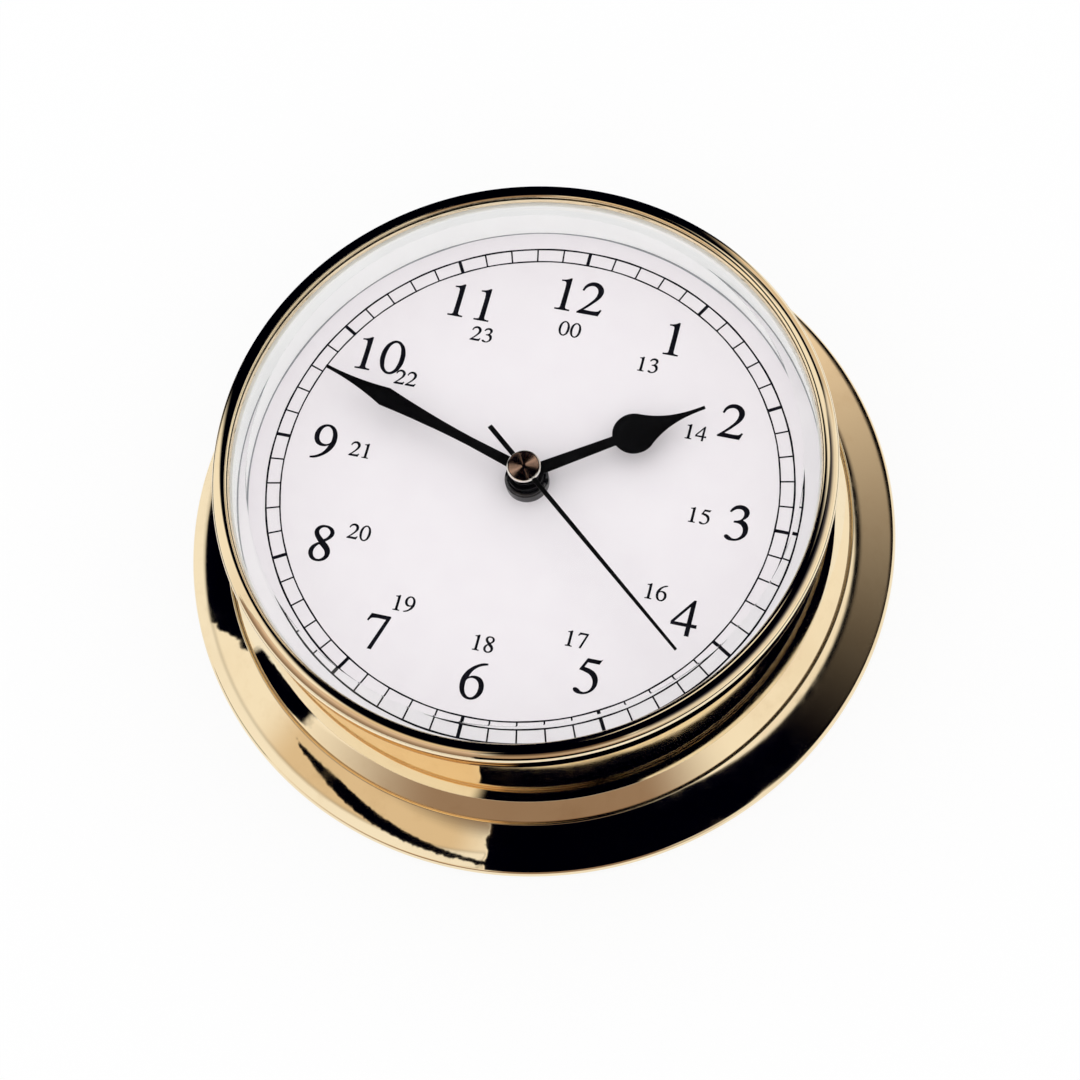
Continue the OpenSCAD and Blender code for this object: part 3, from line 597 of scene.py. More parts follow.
def bezel_outline():
    """Section of the bezel: skirt, round crown, slope to the glass and threaded bore."""
    outer_w = BEZEL_R - CROWN_R
    skirt_turn = -math.degrees(math.acos((SKIRT_R - CROWN_R) / outer_w))
    outline = [(SKIRT_IN_R, BEZEL_FOOT), (SKIRT_R, BEZEL_FOOT)]
    outline += oval((CROWN_R, CROWN_TOP - CROWN_H), outer_w, CROWN_H, skirt_turn, 90, 26)
    outline += oval((CROWN_R, CROWN_TOP - LIP_ROUND), CROWN_R - LIP_R, LIP_ROUND, 90, 180, 18)[1:]
    outline += [(LIP_R, LIP_FOOT), (SKIRT_IN_R, LIP_FOOT)]
    bore = thread(SKIRT_IN_R, BEZEL_FOOT + THREAD_START, LIP_FOOT - THREAD_END, THREAD_DEPTH)
    return outline + bore[::-1]


def glass_outline():
    """Section of the flat glass with its bevelled edge."""
    edge = GLASS_TOP - GLASS_BEVEL_DROP
    bevel_in = GLASS_R - GLASS_BEVEL_W
    top = [(GLASS_R, edge), (bevel_in, GLASS_TOP), (bevel_in / 2, GLASS_TOP), (0, GLASS_TOP)]
    return [(0, GLASS_FOOT), (bevel_in / 2, GLASS_FOOT), (GLASS_R, GLASS_FOOT)] + top


def build_case(brass):
    case = lathe("case_shell", case_outline())
    bevel(case, 0.15)
    smooth(case)
    dress(case, brass, "case", "polished_brass", "case")


def build_bezel(brass):
    bezel = lathe("bezel_ring", bezel_outline())
    bevel(bezel, 0.12)
    smooth(bezel)
    dress(bezel, brass, "bezel", "polished_brass", "bezel")


def build_glass():
    glass = lathe("bevelled_glass", glass_outline())
    bevel(glass, 0.1, 2, 12)
    smooth(glass, math.radians(6))
    dress(glass, clear_glass(), "glass", "clear_glass", "glass")


# Figures 7.8 mm tall, each a list of outlines: x from the left edge, y from the foot, and 1 marks a corner
SIX_W = 4.85
SIX_TURN_H = 8.1
SIX = [
    [(4.55, 8.05, 1), (3.5, 7.87), (2.3, 7.25), (1.2, 6.3), (0.45, 5.2), (0.06, 4.1), (0.0, 3.1),
     (0.2, 1.9), (0.75, 0.85), (1.6, 0.18), (2.5, 0.0), (3.5, 0.22), (4.35, 0.95), (4.82, 2.0),
     (4.85, 3.0), (4.5, 4.05), (3.8, 4.75), (2.85, 5.0), (2.0, 4.88), (1.32, 4.6, 1), (1.6, 5.5),
     (2.3, 6.55), (3.3, 7.3), (4.6, 7.78, 1)],
    [(1.1, 3.95), (1.6, 4.38), (2.35, 4.52), (3.2, 4.2), (3.78, 3.4), (3.92, 2.4), (3.72, 1.35),
     (3.2, 0.62), (2.55, 0.4), (1.8, 0.72), (1.2, 1.65), (0.98, 2.8)],
]
FIGURES = {
    "0": [
        [(2.6, 7.95), (1.1, 7.2), (0.25, 5.6), (0.03, 3.95), (0.25, 2.3), (1.1, 0.7), (2.6, -0.02),
         (4.1, 0.7), (4.95, 2.3), (5.17, 3.95), (4.95, 5.6), (4.1, 7.2)],
        [(2.6, 7.5), (1.65, 6.9), (1.12, 5.5), (0.98, 3.95), (1.12, 2.4), (1.65, 1.0), (2.6, 0.42),
         (3.55, 1.0), (4.08, 2.4), (4.22, 3.95), (4.08, 5.5), (3.55, 6.9)],
    ],
    "1": [
        [(2.2, 7.78, 1), (2.2, 0.9, 1), (2.35, 0.48), (2.75, 0.34), (3.3, 0.3, 1), (3.3, 0.04, 1),
         (0.05, 0.04, 1), (0.05, 0.3, 1), (0.7, 0.34), (1.08, 0.5), (1.22, 0.9, 1), (1.22, 6.2),
         (1.08, 6.72), (0.75, 6.88), (0.12, 6.86, 1), (0.08, 7.1, 1), (1.1, 7.28), (1.98, 7.78, 1)],
    ],
    "2": [
        [(0.12, 5.5, 1), (0.45, 6.55), (1.15, 7.35), (2.1, 7.74), (3.1, 7.66), (4.05, 7.08), (4.6, 6.1),
         (4.55, 5.1), (4.1, 4.1), (3.3, 3.1), (2.35, 2.0), (1.4, 0.94, 1), (3.9, 0.94), (4.5, 1.08),
         (4.95, 1.6, 1), (5.18, 1.5, 1), (4.72, 0.04, 1), (0.05, 0.04, 1), (0.05, 0.28, 1), (1.3, 1.5),
         (2.45, 2.85), (3.2, 3.95), (3.55, 5.0), (3.5, 5.9), (3.05, 6.6), (2.3, 6.92), (1.45, 6.74),
         (0.8, 6.2), (0.45, 5.4, 1)],
    ],
    "3": [
        [(0.08, 6.15, 1), (0.55, 7.05), (1.35, 7.7), (2.4, 7.9), (3.4, 7.55), (3.98, 6.8), (3.98, 6.0),
         (3.6, 5.3), (3.05, 4.75, 1), (3.75, 4.35), (4.3, 3.6), (4.5, 2.7), (4.35, 1.7), (3.75, 0.85),
         (2.9, 0.25), (1.9, -0.02), (1.0, 0.0), (0.35, 0.28), (0.08, 0.65), (0.25, 0.95), (0.65, 1.0),
         (1.15, 0.72), (1.75, 0.42), (2.5, 0.48), (3.15, 0.98), (3.55, 1.8), (3.52, 2.7), (3.1, 3.5),
         (2.4, 3.9), (1.3, 3.95, 1), (1.32, 4.25, 1), (2.2, 4.5), (2.8, 4.95), (3.1, 5.7), (3.0, 6.5),
         (2.5, 7.0), (1.75, 7.06), (1.0, 6.75), (0.38, 6.05, 1)],
    ],
    "4": [
        [(3.72, 7.82, 1), (4.08, 7.82, 1), (4.08, 2.7, 1), (5.25, 2.7, 1), (5.25, 2.02, 1),
         (4.08, 2.02, 1), (4.08, 0.04, 1), (3.24, 0.04, 1), (3.24, 2.02, 1), (0.0, 2.02, 1),
         (0.0, 2.66, 1)],
        [(3.24, 6.4, 1), (0.62, 2.7, 1), (3.24, 2.7, 1)],
    ],
    "5": [
        [(4.5, 7.95, 1), (4.25, 7.62), (3.7, 7.54, 1), (1.5, 7.54, 1), (0.32, 4.92, 1), (1.5, 4.72),
         (2.6, 4.3), (3.35, 3.5), (3.66, 2.5), (3.5, 1.45), (2.9, 0.7), (2.15, 0.42), (1.6, 0.52),
         (1.05, 0.9), (0.55, 1.06), (0.14, 0.9), (0.16, 0.5), (0.65, 0.12), (1.45, -0.02), (2.5, 0.14),
         (3.5, 0.72), (4.25, 1.7), (4.5, 2.8), (4.28, 3.9), (3.55, 4.85), (2.45, 5.38), (1.18, 5.62, 1),
         (1.66, 6.76, 1), (4.02, 6.76, 1)],
    ],
    "6": SIX,
    "7": [
        [(0.62, 7.58, 1), (4.72, 7.58, 1), (4.72, 7.36, 1), (2.44, 0.04, 1), (1.66, 0.04, 1),
         (3.88, 6.78, 1), (1.35, 6.78), (0.75, 6.6), (0.3, 5.9, 1), (0.02, 6.0, 1)],
    ],
    "8": [
        [(2.1, 7.98), (3.1, 7.82), (3.95, 7.2), (4.2, 6.4), (3.9, 5.6), (3.3, 4.95), (2.8, 4.45, 1),
         (3.7, 3.7), (4.32, 2.8), (4.45, 1.85), (4.1, 0.9), (3.3, 0.25), (2.2, -0.02), (1.1, 0.2),
         (0.3, 1.0), (0.05, 2.0), (0.3, 2.9), (0.95, 3.65), (1.56, 4.12, 1), (0.85, 4.85), (0.3, 5.6),
         (0.1, 6.4), (0.4, 7.25), (1.15, 7.82)],
        [(2.1, 7.58), (2.9, 7.32), (3.36, 6.75), (3.36, 6.1), (3.0, 5.4), (2.38, 4.86, 1), (1.6, 5.45),
         (1.05, 6.1), (0.95, 6.7), (1.35, 7.35)],
        [(1.76, 3.72, 1), (1.2, 3.05), (0.92, 2.2), (1.08, 1.25), (1.6, 0.6), (2.3, 0.4), (3.05, 0.68),
         (3.54, 1.5), (3.35, 2.35), (2.65, 3.1)],
    ],
    "9": [[(SIX_W - x, SIX_TURN_H - y, *corner) for x, y, *corner in outline] for outline in SIX],
}
FIGURE_W = dict(zip("0123456789", (5.2, 3.35, 5.2, 4.5, 5.25, 4.5, SIX_W, 4.75, 4.5, SIX_W)))


def grown(outline, amount):
    """An outline moved outwards by an amount, or inwards by a negative one."""
    ends = outline[1:] + outline[:1]
    area = sum(a[0] * b[1] - b[0] * a[1] for a, b in zip(outline, ends))
    side = math.copysign(amount, amount * area)
    moved = []
    for before, (x, y, *corner), after in zip(outline[-1:] + outline[:-1], outline, ends):
        dx = after[0] - before[0]
        dy = after[1] - before[1]
        length = math.hypot(dx, dy)
        moved.append((x + side * dy / length, y - side * dx / length, *corner))
    return moved


def numeral(text, centre, height):
    """Outlines of a numeral of one or two figures about a centre on the dial."""
    scale = height / HOUR_FIGURE_H
    outlines = []
    for i, figure in enumerate(text):
        shift = (i - (len(text) - 1) / 2) * FIGURE_CELL
        for j, outline in enumerate(FIGURES[figure]):
            outline = grown(outline, INK_SPREAD / scale * (-1 if j else 1))
            left = shift - FIGURE_W[figure] / 2
            low = -HOUR_FIGURE_H / 2
            outlines.append([(centre[0] + (x + left) * scale, centre[1] + (y + low) * scale, *corner)
                             for x, y, *corner in outline])
    return outlines


def clock_place(radius, hours):
    """A place on the dial at a radius, by the hour."""
    turn = FULL_TURN * hours / 12
    return radius * math.sin(turn), radius * math.cos(turn)


def circle(radius, points=24):
    return [clock_place(radius, 12 * i / points) for i in range(points)]


def track_cell(minute):
    """The open cell of the ladder track after a minute."""
    inner = TRACK_IN_R + TRACK_LINE / 2
    outer = TRACK_OUT_R - TRACK_LINE / 2
    first = HOUR_TICK_W if minute % 5 == 0 else TICK_W
    last = HOUR_TICK_W if minute % 5 == 4 else TICK_W
    cell = []
    for radius, places in ((inner, (0, 1, 2)), (outer, (2, 1, 0))):
        low = minute / 5 + first / 2 / radius * 12 / FULL_TURN
        high = (minute + 1) / 5 - last / 2 / radius * 12 / FULL_TURN
        for place in places:
            corner = () if place == 1 else (1,)
            cell.append((*clock_place(radius, low + (high - low) * place / 2), *corner))
    return cell


def printed(name, outlines, level):
    """A film of ink: outlines filled as a flat curve, made a mesh and laid at a level in millimetres."""
    curve = bpy.data.curves.new(name, "CURVE")
    curve.dimensions = "2D"
    curve.fill_mode = "BOTH"
    curve.extrude = INK_T / 2 * MM
    curve.resolution_u = 5
    for outline in outlines:
        spline = curve.splines.new("BEZIER")
        spline.bezier_points.add(len(outline) - 1)
        spline.use_cyclic_u = True
        for point, (x, y, *corner) in zip(spline.bezier_points, outline):
            kind = "VECTOR" if corner else "AUTO"
            point.co = (x * MM, y * MM, 0)
            point.handle_left_type = kind
            point.handle_right_type = kind
    piece = bpy.data.objects.new(name, curve)
    bpy.context.scene.collection.objects.link(piece)
    make_active(piece)
    bpy.ops.object.convert(target="MESH")
    piece = bpy.context.object
    piece.location.z = level * MM
    bpy.ops.object.transform_apply(location=True)
    bpy.ops.object.mode_set(mode="EDIT")
    weld()
    bpy.ops.mesh.normals_make_consistent(inside=False)
    bpy.ops.object.mode_set(mode="OBJECT")
    return piece


def dial_enamel():
    """White enamel with a fine grain, and a painted shadow: a grey line where the spacer stands on it."""
    material, start = new_material("dial_enamel")
    place, radius, angle, _ = turned_place(start)
    fine = place.noise(2600.0, 3.0, 0.6)
    tone = (place.noise(200.0, 3.0) * 0.6 + fine * 0.4).step(0.3, 0.7)
    tone = tone.mix((0.82, 0.78, 0.81), (0.84, 0.805, 0.83))
    # Painted shadow: a grey line of uneven width at the spacer's foot, where shade falls between dial and
    # spacer.
    shadow_width = start.vector(angle, 0.0, 0.0).noise(1.3, 2.0).step(0.3, 0.7) * 0.3 + 0.15
    line = (radius * PER_MM - (radius_of("spacer_ring") - SPACER_FOOT - shadow_width)).step(0.0, 0.06)
    close_finish(start, Base_Color=line.mix(tone, (0.3, 0.31, 0.33)), Roughness=0.32 + fine * 0.2,
                 Normal=fine.bump(0.0000012), Specular_IOR_Level=0.3)
    return material


def build_dial():
    white = dial_enamel()
    ink = grained("dial_ink", (0.002, 0.002, 0.006), (0.005, 0.005, 0.01), 0.5, 5200.0, 0.0000008, gloss=0.1)
    plate = lathe("dial_plate", [(DIAL_HOLE_R, DIAL_FOOT), (radius_of("dial"), DIAL_FOOT),
                                 (radius_of("dial"), DIAL_TOP), (DIAL_HOLE_R, DIAL_TOP)])
    bevel(plate, 0.08)
    smooth(plate)
    dress(plate, white, "case", "dial_white", "dial")
    level = DIAL_TOP + INK_T / 2
    hours = []
    days = []
    for hour in range(1, 13):
        hours += numeral(str(hour), clock_place(HOUR_FIGURE_R, hour), HOUR_FIGURE_H)
        day_text = "00" if hour == 12 else str(hour + 12)
        days += numeral(day_text, clock_place(DAY_FIGURE_R, hour), DAY_FIGURE_H)
    dress(printed("hour_figures", hours, level), ink, "case", "hand_black")
    dress(printed("day_figures", days, level), ink, "case", "hand_black")
    ladder = [circle(TRACK_OUT_R + TRACK_LINE / 2), circle(TRACK_IN_R - TRACK_LINE / 2)]
    ladder += [track_cell(minute) for minute in range(60)]
    dress(printed("minute_track", ladder, level), ink, "case", "hand_black")


def build_hands():
    black = grained("hand_lacquer", (0.001, 0.001, 0.0015), (0.003, 0.003, 0.004), 0.35, 3200.0, 0.000001,
                    gloss=0.15)
    for hand in ("hour", "minute", "second"):
        blade = copy_of(f"{hand}_hand", f"{hand}_blade", 0.1)
        dress(blade, black, hand, "hand_black", f"{hand}_hand")


# Hub, rings and movement
def cap_outline():
    """Section of the polished cap: a round edge and a face with the rings of the tool."""
    low = foot_of("second_cap")
    high = top_of("second_cap")
    radius = CAP_R - CAP_ROUND
    outline = [(0, low), (CAP_R, low)] + arc((radius, high - CAP_ROUND), CAP_ROUND, 0, 90, 8)
    for i in range(CAP_RINGS):
        outer = radius - CAP_LAND - i * CAP_RING_W
        outline += [(outer, high), (outer - CAP_RING_W / 2, high - CAP_RING_DROP)]
    return outline + [(0, high - CAP_RING_DROP)]


def cap_metal():
    """Turned bronze, with a painted highlight: a pale rim where the rounded edge catches the light."""
    material, start = new_material("cap_metal")
    _, radius, _, height = turned_place(start)
    rings = tool_rings(start, radius, height, 0.08)
    # Painted highlight: the rounded rim is coloured pale, standing in for the light it catches.
    rim = radius.step((CAP_R - CAP_ROUND - 0.08) * MM, (CAP_R - CAP_ROUND) * MM)
    face = rings.mix((0.5, 0.33, 0.25), (0.4, 0.25, 0.18))
    close_finish(start, Base_Color=rim.mix(face, (0.92, 0.88, 0.82)), Metallic=1.0,
                 Roughness=0.07 + rings * 0.08, Normal=rings.bump(0.0000004))
    return material


def nut_metal():
    """Blackened metal, with painted highlights: bright unblackened metal bands at its upper edge and its
    foot.
    """
    material, start = new_material("nut_metal")
    _, radius, _, height = turned_place(start)
    low = foot_of("stem_nut")
    high = top_of("stem_nut")
    rings = start.vector(radius, height, 0.0).noise(9000.0, 2.0, 0.6)
    level = height * PER_MM
    # Painted highlights: bright metal bands at the upper edge and the foot stand in for the light lines those
    # edges catch.
    edge = level.band(high - 0.3, high - 0.06, 0.03) * (1 - (radius * PER_MM).below(NUT_EDGE_R, 0.05))
    painted_highlight_bands = edge.highest(level.below(low + 0.25, 0.05))
    close_finish(start, Base_Color=painted_highlight_bands.mix((0.004, 0.004, 0.006), (0.62, 0.62, 0.64)), Metallic=painted_highlight_bands * 0.9,
                 Roughness=0.2 + rings * 0.12, Normal=rings.bump(0.000001))
    return material


def build_hub():
    bronze = cap_metal()
    black = turned_finish("black_metal", (0.003, 0.003, 0.005), (0.007, 0.007, 0.009),
                          0.28, 0.1, 0.000001, 0.0)
    cap = lathe("polished_cap", cap_outline(), 128)
    smooth(cap, math.radians(15))
    dress(cap, bronze, "second", "polished_brass", "second_cap")
    nut = copy_of("stem_nut", "round_nut", 0.12, 3)
    dress(nut, nut_metal(), "case", "black_metal", "stem_nut")
    for hand in ("hour", "minute", "second"):
        bush = copy_of(f"{hand}_bush", f"{hand}_collet", 0.08)
        dress(bush, black, hand, "black_metal", f"{hand}_bush")


def build_rings():
    plastic = grained("spacer_plastic", (0.95, 0.955, 0.95), (0.97, 0.975, 0.97), 0.45, 1800.0, 0.000001)
    rubber = grained("gasket_rubber", (0.78, 0.78, 0.77), (0.83, 0.83, 0.82), 0.7, 1400.0, 0.000002)
    brushed = turned_finish("spun_brass", (0.72, 0.5, 0.24), (0.62, 0.41, 0.18), 0.3, 0.12, 0.000002)
    foot = foot_of("spacer_ring")
    head = top_of("spacer_ring")
    outer = radius_of("spacer_ring")
    spacer = lathe("dial_spacer", [(outer - SPACER_FOOT, foot), (outer, foot), (outer, head),
                                   (outer - SPACER_HEAD, head)])
    bevel(spacer, 0.12)
    smooth(spacer)
    dress(spacer, plastic, "case", "white_plastic", "spacer_ring")
    low = foot_of("gasket")
    high = top_of("gasket")
    outer = radius_of("gasket")
    inner = outer - SPACER_HEAD
    seal = lathe("glass_seal", [(inner, low), (outer, low), (outer, high), (inner, high)])
    bevel(seal, 0.12, 3)
    smooth(seal)
    dress(seal, rubber, "glass", "white_silicone", "gasket")
    ring = copy_of("mounting_ring", "fixing_ring", 0.25)
    dress(ring, brushed, "case", "polished_brass", "mounting_ring")


def build_movement():
    moulded = grained("moulded_black", (0.014, 0.014, 0.016), (0.024, 0.024, 0.026), 0.5, 4200.0, 0.000006)
    for node, name, edge in (("front_shell", "movement_lid", 0.2), ("rear_shell", "movement_tray", 0.2),
                             ("setting_knob", "hand_knob", 0.12)):
        body = "knob" if node == "setting_knob" else "case"
        dress(copy_of(node, name, edge), moulded, body, "black_plastic", node)


def cell_sleeve():
    """Printed shrink sleeve: pale grey with one dark green end, and a faint draw along its length."""
    material, start = new_material("cell_sleeve")
    x, y, z = object_place(start).parts()
    draw = start.vector(x * 0.05, y, z).noise(2200.0, 3.0)
    along = x * PER_MM
    band = 1 - along.below(CELL_BAND_X, 0.1)
    ring = along.band(*CELL_RING_X, 0.05)
    base = draw.mix((0.56, 0.57, 0.58), (0.62, 0.63, 0.64))
    colour = band.highest(ring).mix(base, (0.02, 0.11, 0.07))
    close_finish(start, Base_Color=colour, Roughness=0.22 + draw * 0.12, Metallic=0.35,
                 Normal=draw.bump(0.000002))
    return material


def lay_along_x(piece, centre):
    """Lay a turned piece down so that its axis points along +X through a centre in millimetres."""
    make_active(piece)
    piece.rotation_euler = (0, math.pi / 2, 0)
    piece.location = [value * MM for value in centre]
    bpy.ops.object.transform_apply(location=True, rotation=True)


def build_cell():
    """The AA cell: a shrink sleeve that turns in over a steel can with its contact nub."""
    low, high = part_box("battery")
    centre = ((low.x + high.x) / 2 / MM, (low.y + high.y) / 2 / MM, (low.z + high.z) / 2 / MM)
    half = (high.x - low.x) / 2 / MM
    radius = (high.z - low.z) / 2 / MM
    shoulder = half - CELL_NUB_L
    inside = radius - CELL_FOIL
    mouth = radius - CELL_TURN_IN
    edge = radius - CELL_ROUND
    sleeve = [(mouth, -half)] + arc((edge, -half + CELL_ROUND), CELL_ROUND, -90, 0, 6)
    sleeve += arc((edge, shoulder - CELL_ROUND), CELL_ROUND, 0, 90, 6) + [(mouth, shoulder)]
    sleeve += [(mouth, shoulder - CELL_FOIL), (inside, shoulder - CELL_FOLD)]
    sleeve += [(inside, -half + CELL_FOLD), (mouth, -half + CELL_FOIL)]
    jacket = lathe("cell_jacket", sleeve, 96)
    smooth(jacket)
    lay_along_x(jacket, centre)
    dress(jacket, cell_sleeve(), "case", "cell_jacket", "battery")
    can_r = inside - CELL_FOIL
    base = [(0, 0.15), (2.2, 0.15), (2.6, 0.05), (4.6, 0.05), (5.0, 0.35), (can_r - 0.6, 0.35), (can_r, 1.0)]
    head = [(can_r, -1.4), (can_r - 0.8, -0.5), (CELL_NUB_R + 1.0, -0.5), (CELL_NUB_R + 0.2, -0.2)]
    can = [(r, z - half) for r, z in base] + [(r, z + shoulder) for r, z in head + [(CELL_NUB_R, 0.1)]]
    can += arc((CELL_NUB_R - 0.4, half - 0.4), 0.4, 0, 90, 5) + [(0, half)]
    steel = turned_finish("cell_steel", (0.62, 0.62, 0.64), (0.52, 0.52, 0.54), 0.25, 0.15, 0.000001)
    ends = lathe("cell_can", can, 96)
    smooth(ends)
    lay_along_x(ends, centre)
    dress(ends, steel, "case", "bright_steel")


def slot_finishes():
    """Finishes for the solids that show as they are, by the record's slot."""
    return {
        "black_rubber": grained("washer_rubber", (0.02, 0.02, 0.02), (0.035, 0.035, 0.035),
                                0.75, 1500.0, 0.000004),
        "white_plastic": grained("bobbin_plastic", (0.8, 0.8, 0.78), (0.86, 0.86, 0.84),
                                 0.45, 2200.0, 0.000002),
        "black_plastic": grained("chip_resin", (0.01, 0.01, 0.011), (0.02, 0.02, 0.02),
                                 0.55, 6000.0, 0.000003),
        "gear_plastic": grained("acetal", (0.78, 0.77, 0.7), (0.86, 0.85, 0.8),
                                0.38, 2600.0, 0.0000015),
        "magnet_grey": grained("sintered_magnet", (0.12, 0.12, 0.125), (0.22, 0.22, 0.23),
                               0.5, 7000.0, 0.000003, 0.7),
        "bright_steel": grained("nickel_plate", (0.6, 0.6, 0.62), (0.52, 0.52, 0.54),
                                0.25, 3000.0, 0.000001, 1.0),
        "copper_wire": grained("enamelled_copper", (0.5, 0.2, 0.08), (0.62, 0.28, 0.12),
                               0.3, 8000.0, 0.000004, 1.0),
        "board_green": grained("solder_mask", (0.02, 0.13, 0.05), (0.04, 0.2, 0.08),
                               0.35, 1200.0, 0.000003),
    }


def dress_the_rest():
    """Give every solid that still shows a finish with grain, in place of its plain one."""
    finishes = slot_finishes()
    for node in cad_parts.values():
        for place in node.material_slots:
            slot = place.material.name.split(".")[0]
            if slot in finishes:
                place.material = finishes[slot]


# Stage
def build_floor():
    """A pale floor that shows white to the lens and in polished faces, and keeps the clock's shadow. It
    paints dark
    reflections: polished faces see it dark behind the clock, and in front past a bow after a ray's second
    throw."""
    deselect()
    bpy.ops.mesh.primitive_plane_add(size=FLOOR_W)
    floor = bpy.context.object
    floor.name = "floor"
    material, start = new_material("floor_paper")
    place, radius, angle, _ = turned_place(start)
    tone = place.noise(900.0, 2.0).mix((0.81, 0.81, 0.815), (0.84, 0.84, 0.845))
    paper = start.node("ShaderNodeBsdfDiffuse", inputs={"Color": tone})
    seen = light_path(start, "Is Camera Ray").highest(light_path(start, "Is Glossy Ray"))
    seen = seen.highest(light_path(start, "Is Transmission Ray"))
    shown = (seen * FLOOR_GLOW).blend(paper, glow(start, WHITE))
    # Painted dark reflections: the floor glows black only for rays that polished faces throw back.
    turn = angle * DEGREES
    along = turn - BOW_START
    past = radius * PER_MM - (BOW_R + along * (BOW_RISE + along * BOW_BEND))
    near = turn.step(-56.0, -53.0) * past.below(0.0, 0.6)
    far = turn.band(-90.0, 26.0, 2.0) * (1 - near) * mirrored_twice(start)
    behind = turn.band(72.0, 168.0, 4.0) * mirrored(start)
    close_material(start, behind.highest(far).blend(shown, glow(start, BLACK)))
    floor.data.materials.append(material)


def right_strip(turn, torn, level):
    """The dark strip on the right, which sinks towards the back, and the share of it that turns brown."""
    above = level - turn.line(*STRIP_HEAD)
    over = level - turn.line(*STRIP_FOOT).lowest(STRIP_FOOT_TOP)
    strip = torn.step(*FRONT_EDGE) * turn.below(STRIP_END, 3.0)
    strip = strip * above.below(0.0, 0.5) * over.step(-1.0, -0.4)
    fade = ((turn - FADE_START) * (1 / FADE_SPAN)).highest(0.0) ** 1.7
    return strip, fade * above.below(-1.5, 0.7) * over.step(0.2, 1.0)


def left_patch(turn, tear, level):
    """The dark patch on the left, with a slanting torn side, a flat head and a foot that rises."""
    slant = turn + tear - level.line(PATCH_SIDE_Z, PATCH_SIDE_TURN, PATCH_SLANT)
    patch = slant.below(0.0, 0.5) * level.below(PATCH_HEAD, 0.5)
    return patch * (level - turn.line(*PATCH_FOOT)).step(-0.4, 0.4)


def thin_bar(turn, torn, ragged, level):
    """The thin ragged bar between patch and strip, which climbs towards the strip."""
    foot = torn.step(-112.0, -88.0) * BAR_FOOT_RISE + BAR_FOOT
    head = turn.line(*BAR_HEAD).lowest(BAR_HEAD_TOP)
    bar = torn.band(BAR_LEFT, BAR_RIGHT, 0.5) * (level + ragged - foot).step(-0.2, 0.2)
    return bar * (level + ragged * 0.6 - head).below(0.0, 0.2)


def high_card(turn, torn, level):
    """The card above the strip, taller towards the right."""
    head = turn.step(-56.0, -44.0) * HIGH_HEAD_RISE + HIGH_HEAD
    card = torn.step(*FRONT_EDGE) * turn.below(HIGH_END, 4.0)
    return card * level.step(53.0, 57.0) * (level - head).below(3.0, 3.0)


def deep_card(turn, torn, level):
    """The dark right after a ray's second throw: down to a foot that dips, with a low sill at its end."""
    dip = turn.band(DIP_START, -17.0, 5.0) * (turn - DIP_START) * DIP_RISE - turn.step(-18.0, -8.0) * DIP_DROP
    deep = torn.step(-90.5, -90.0) * torn.below(27.0, 3.0) * (level - DEEP_FOOT - dip).step(-0.4, 0.4)
    return deep.highest(turn.band(-16.0, 0.0, 2.0) * level.below(SILL_H, 0.75))


def card_paper():
    """Glowing torn card that paints reflections in polished faces. After a ray's first throw it shows a strip
    that turns brown, a high card, a patch, a bar, a pale edge, a dark foot and a brown side, and after its
    second throw the dark right alone."""
    material, start = new_material("card_paper")
    place, _, angle, height = turned_place(start)
    turn = angle * DEGREES
    level = height * PER_MM
    tear = (place.noise(120.0, 3.0, 0.6) - 0.5) * CARD_TEAR
    ragged = (place.noise(420.0, 3.0, 0.6) - 0.5) * CARD_RAG
    torn = turn + tear
    wound = turn - turn.math("GREATER_THAN", turn, WIND_BACK) * 360.0
    twice = mirrored_twice(start)
    strip, brown = right_strip(turn, torn, level)
    patch = left_patch(wound, tear, level)
    bar = thin_bar(turn, torn, ragged, level)
    high = high_card(turn, torn, level)
    pale = (wound + tear).band(-200.0, -89.0, 0.5) * (level - wound.line(*PALE_HEAD)).band(-4.8, 0.0, 0.8)
    foot = torn.band(LEFT_END, BAR_LEFT, 1.5) * (level + ragged).band(6.5, 14.0, 0.5)
    side = torn.band(LEFT_END, -88.2, 1.0) * level.band(40.0, 100.0, 4.0)
    once = strip.highest(patch, bar, high, pale, side, foot) * (1 - twice)
    tone = brown.mix(BLACK, STRIP_BROWN)
    upper = turn.step(-78.0, -42.0).mix(HIGH_LEFT, level.step(60.0, 108.0).mix(HIGH_PALE, HIGH_DARK))
    tone = (high * (1 - twice)).mix(tone, upper)
    tone = side.mix(tone, level.step(44.0, 100.0).mix(SIDE_DARK, SIDE_PALE))
    tone = (pale * (1 - patch) * (1 - bar)).mix(tone, PALE_EDGE)
    shown = once.highest(deep_card(turn, torn, level) * twice)
    # Painted reflections: the card glows its tones and is seen only by rays that polished faces throw back.
    close_material(start, shown.blend(clear(start), glow(start, tone)))
    return material


def build_card():
    """A glowing ring round the clock that shows only in polished faces: painted reflections, no lamp."""
    deselect()
    middle = (0, 0, (CARD_H / 2 + CARD_LIFT) * MM)
    bpy.ops.mesh.primitive_cylinder_add(vertices=96, radius=CARD_R * MM, depth=CARD_H * MM,
                                        end_fill_type="NOTHING", location=middle)
    card = bpy.context.object
    card.name = "card_ring"
    bpy.ops.object.transform_apply(location=True)
    card.data.materials.append(card_paper())
    for ray in ("camera", "diffuse", "transmission", "volume_scatter", "shadow"):
        setattr(card, f"visible_{ray}", False)


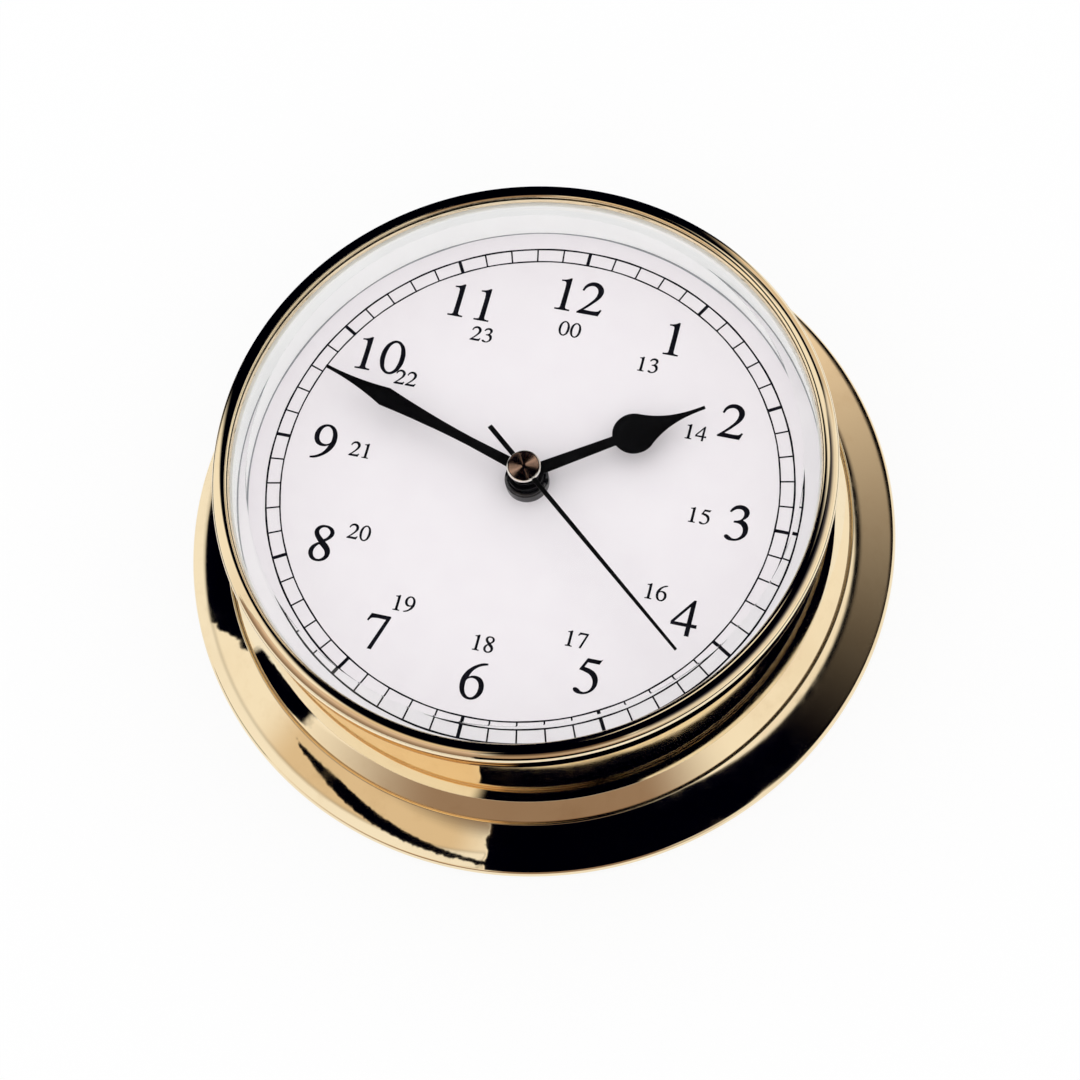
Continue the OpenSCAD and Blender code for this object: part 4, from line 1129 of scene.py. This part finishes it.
def sky_colour(turn, rise, twice):
    """Painted reflections above the floor in polished faces: cream, tan on both sides and dusk at the front,
    and after a ray's second throw tan on the left and white elsewhere."""
    left = turn.band(-150.0, -99.0, 6.0) * rise.step(18.0, 26.0)
    front = turn.band(-92.0, -52.0, 3.0) * rise.step(18.0, 20.0)
    low_front = turn.step(-150.0, -105.0) * turn.below(-40.0, 14.0) * rise.band(2.5, 25.0, 1.0)
    low_right = turn.band(45.0, 86.0, 4.0) * rise.below(28.5, 3.5)
    colour = left.mix(CREAM, TAN)
    colour = front.mix(colour, DUSK)
    colour = low_front.mix(colour, DUSK)
    colour = low_right.mix(colour, RIGHT_TAN)
    return twice.mix(colour, turn.step(-100.0, -85.0).mix(LEFT_TAN, WHITE))


def sky_shade(turn, rise, twice):
    """Painted dark reflections above the floor in polished faces: a lid, the zenith and the back, but for a
    painted gleam and skylight."""
    right = turn.band(-100.0, 60.0, 5.0)
    zenith = rise.step(60.0, 68.0) * (1 - twice * (1 - right))
    front = turn.band(-97.0, -52.0, 5.0) * rise.step(36.0, 62.0)
    lid = (right * rise.step(47.0, 57.0)).highest(front, zenith)
    gleam = turn.band(70.0, 97.0, 3.0) * rise.band(49.0, 63.0, 2.0)
    corner = turn.band(38.0, 84.0, 4.0) * rise.band(31.0, 45.0, 2.0)
    back = (turn.band(82.0, 160.0, 4.0) * (1 - gleam)).highest(corner)
    skylight = turn.band(74.0, 98.0, 4.0) * rise.step(71.0, 73.0)
    return lid.highest(back) * (1 - skylight)


def build_world():
    """Soft even light, a white background, and painted reflections for polished faces: a bright front and a
    dark back.
    """
    world = bpy.data.worlds.new("studio")
    world.use_nodes = True
    world.cycles.sampling_method = "NONE"
    world.node_tree.nodes.clear()
    bpy.context.scene.world = world
    start = Socket(world.node_tree)
    x, y, z = start.node("ShaderNodeTexCoord", output="Generated").parts()
    turn = start.math("ARCTAN2", y, x) * DEGREES
    rise = start.math("ARCSINE", z) * DEGREES
    twice = mirrored_twice(start)
    # Painted reflections: polished faces see these panels, and other rays see plain white.
    panels = sky_shade(turn, rise, twice).mix(sky_colour(turn, rise, twice), BLACK)
    shown = mirrored(start).mix(WHITE, panels)
    level = 1 + light_path(start, "Is Diffuse Ray") * SOFT_EXTRA
    shader = start.node("ShaderNodeBackground", inputs={"Color": shown, "Strength": level})
    start.node("ShaderNodeOutputWorld", inputs={"Surface": shader})


def build_camera():
    data = bpy.data.cameras.new("camera")
    data.lens = CAMERA_LENS
    data.sensor_width = SENSOR_W
    data.clip_start = CLIP_START
    camera = bpy.data.objects.new("camera", data)
    bpy.context.scene.collection.objects.link(camera)
    axes = Matrix((CAMERA_RIGHT, CAMERA_UP, CAMERA_BACK)).transposed()
    camera.matrix_world = Matrix.Translation(CAMERA_PLACE) @ axes.to_4x4()
    bpy.context.scene.camera = camera
    bpy.context.scene.view_settings.view_transform = "Standard"


build_camera()
build_world()
build_floor()
build_card()
brass = polished_brass()
build_case(brass)
build_bezel(brass)
build_glass()
build_dial()
build_hands()
build_hub()
build_rings()
build_movement()
build_cell()
dress_the_rest()
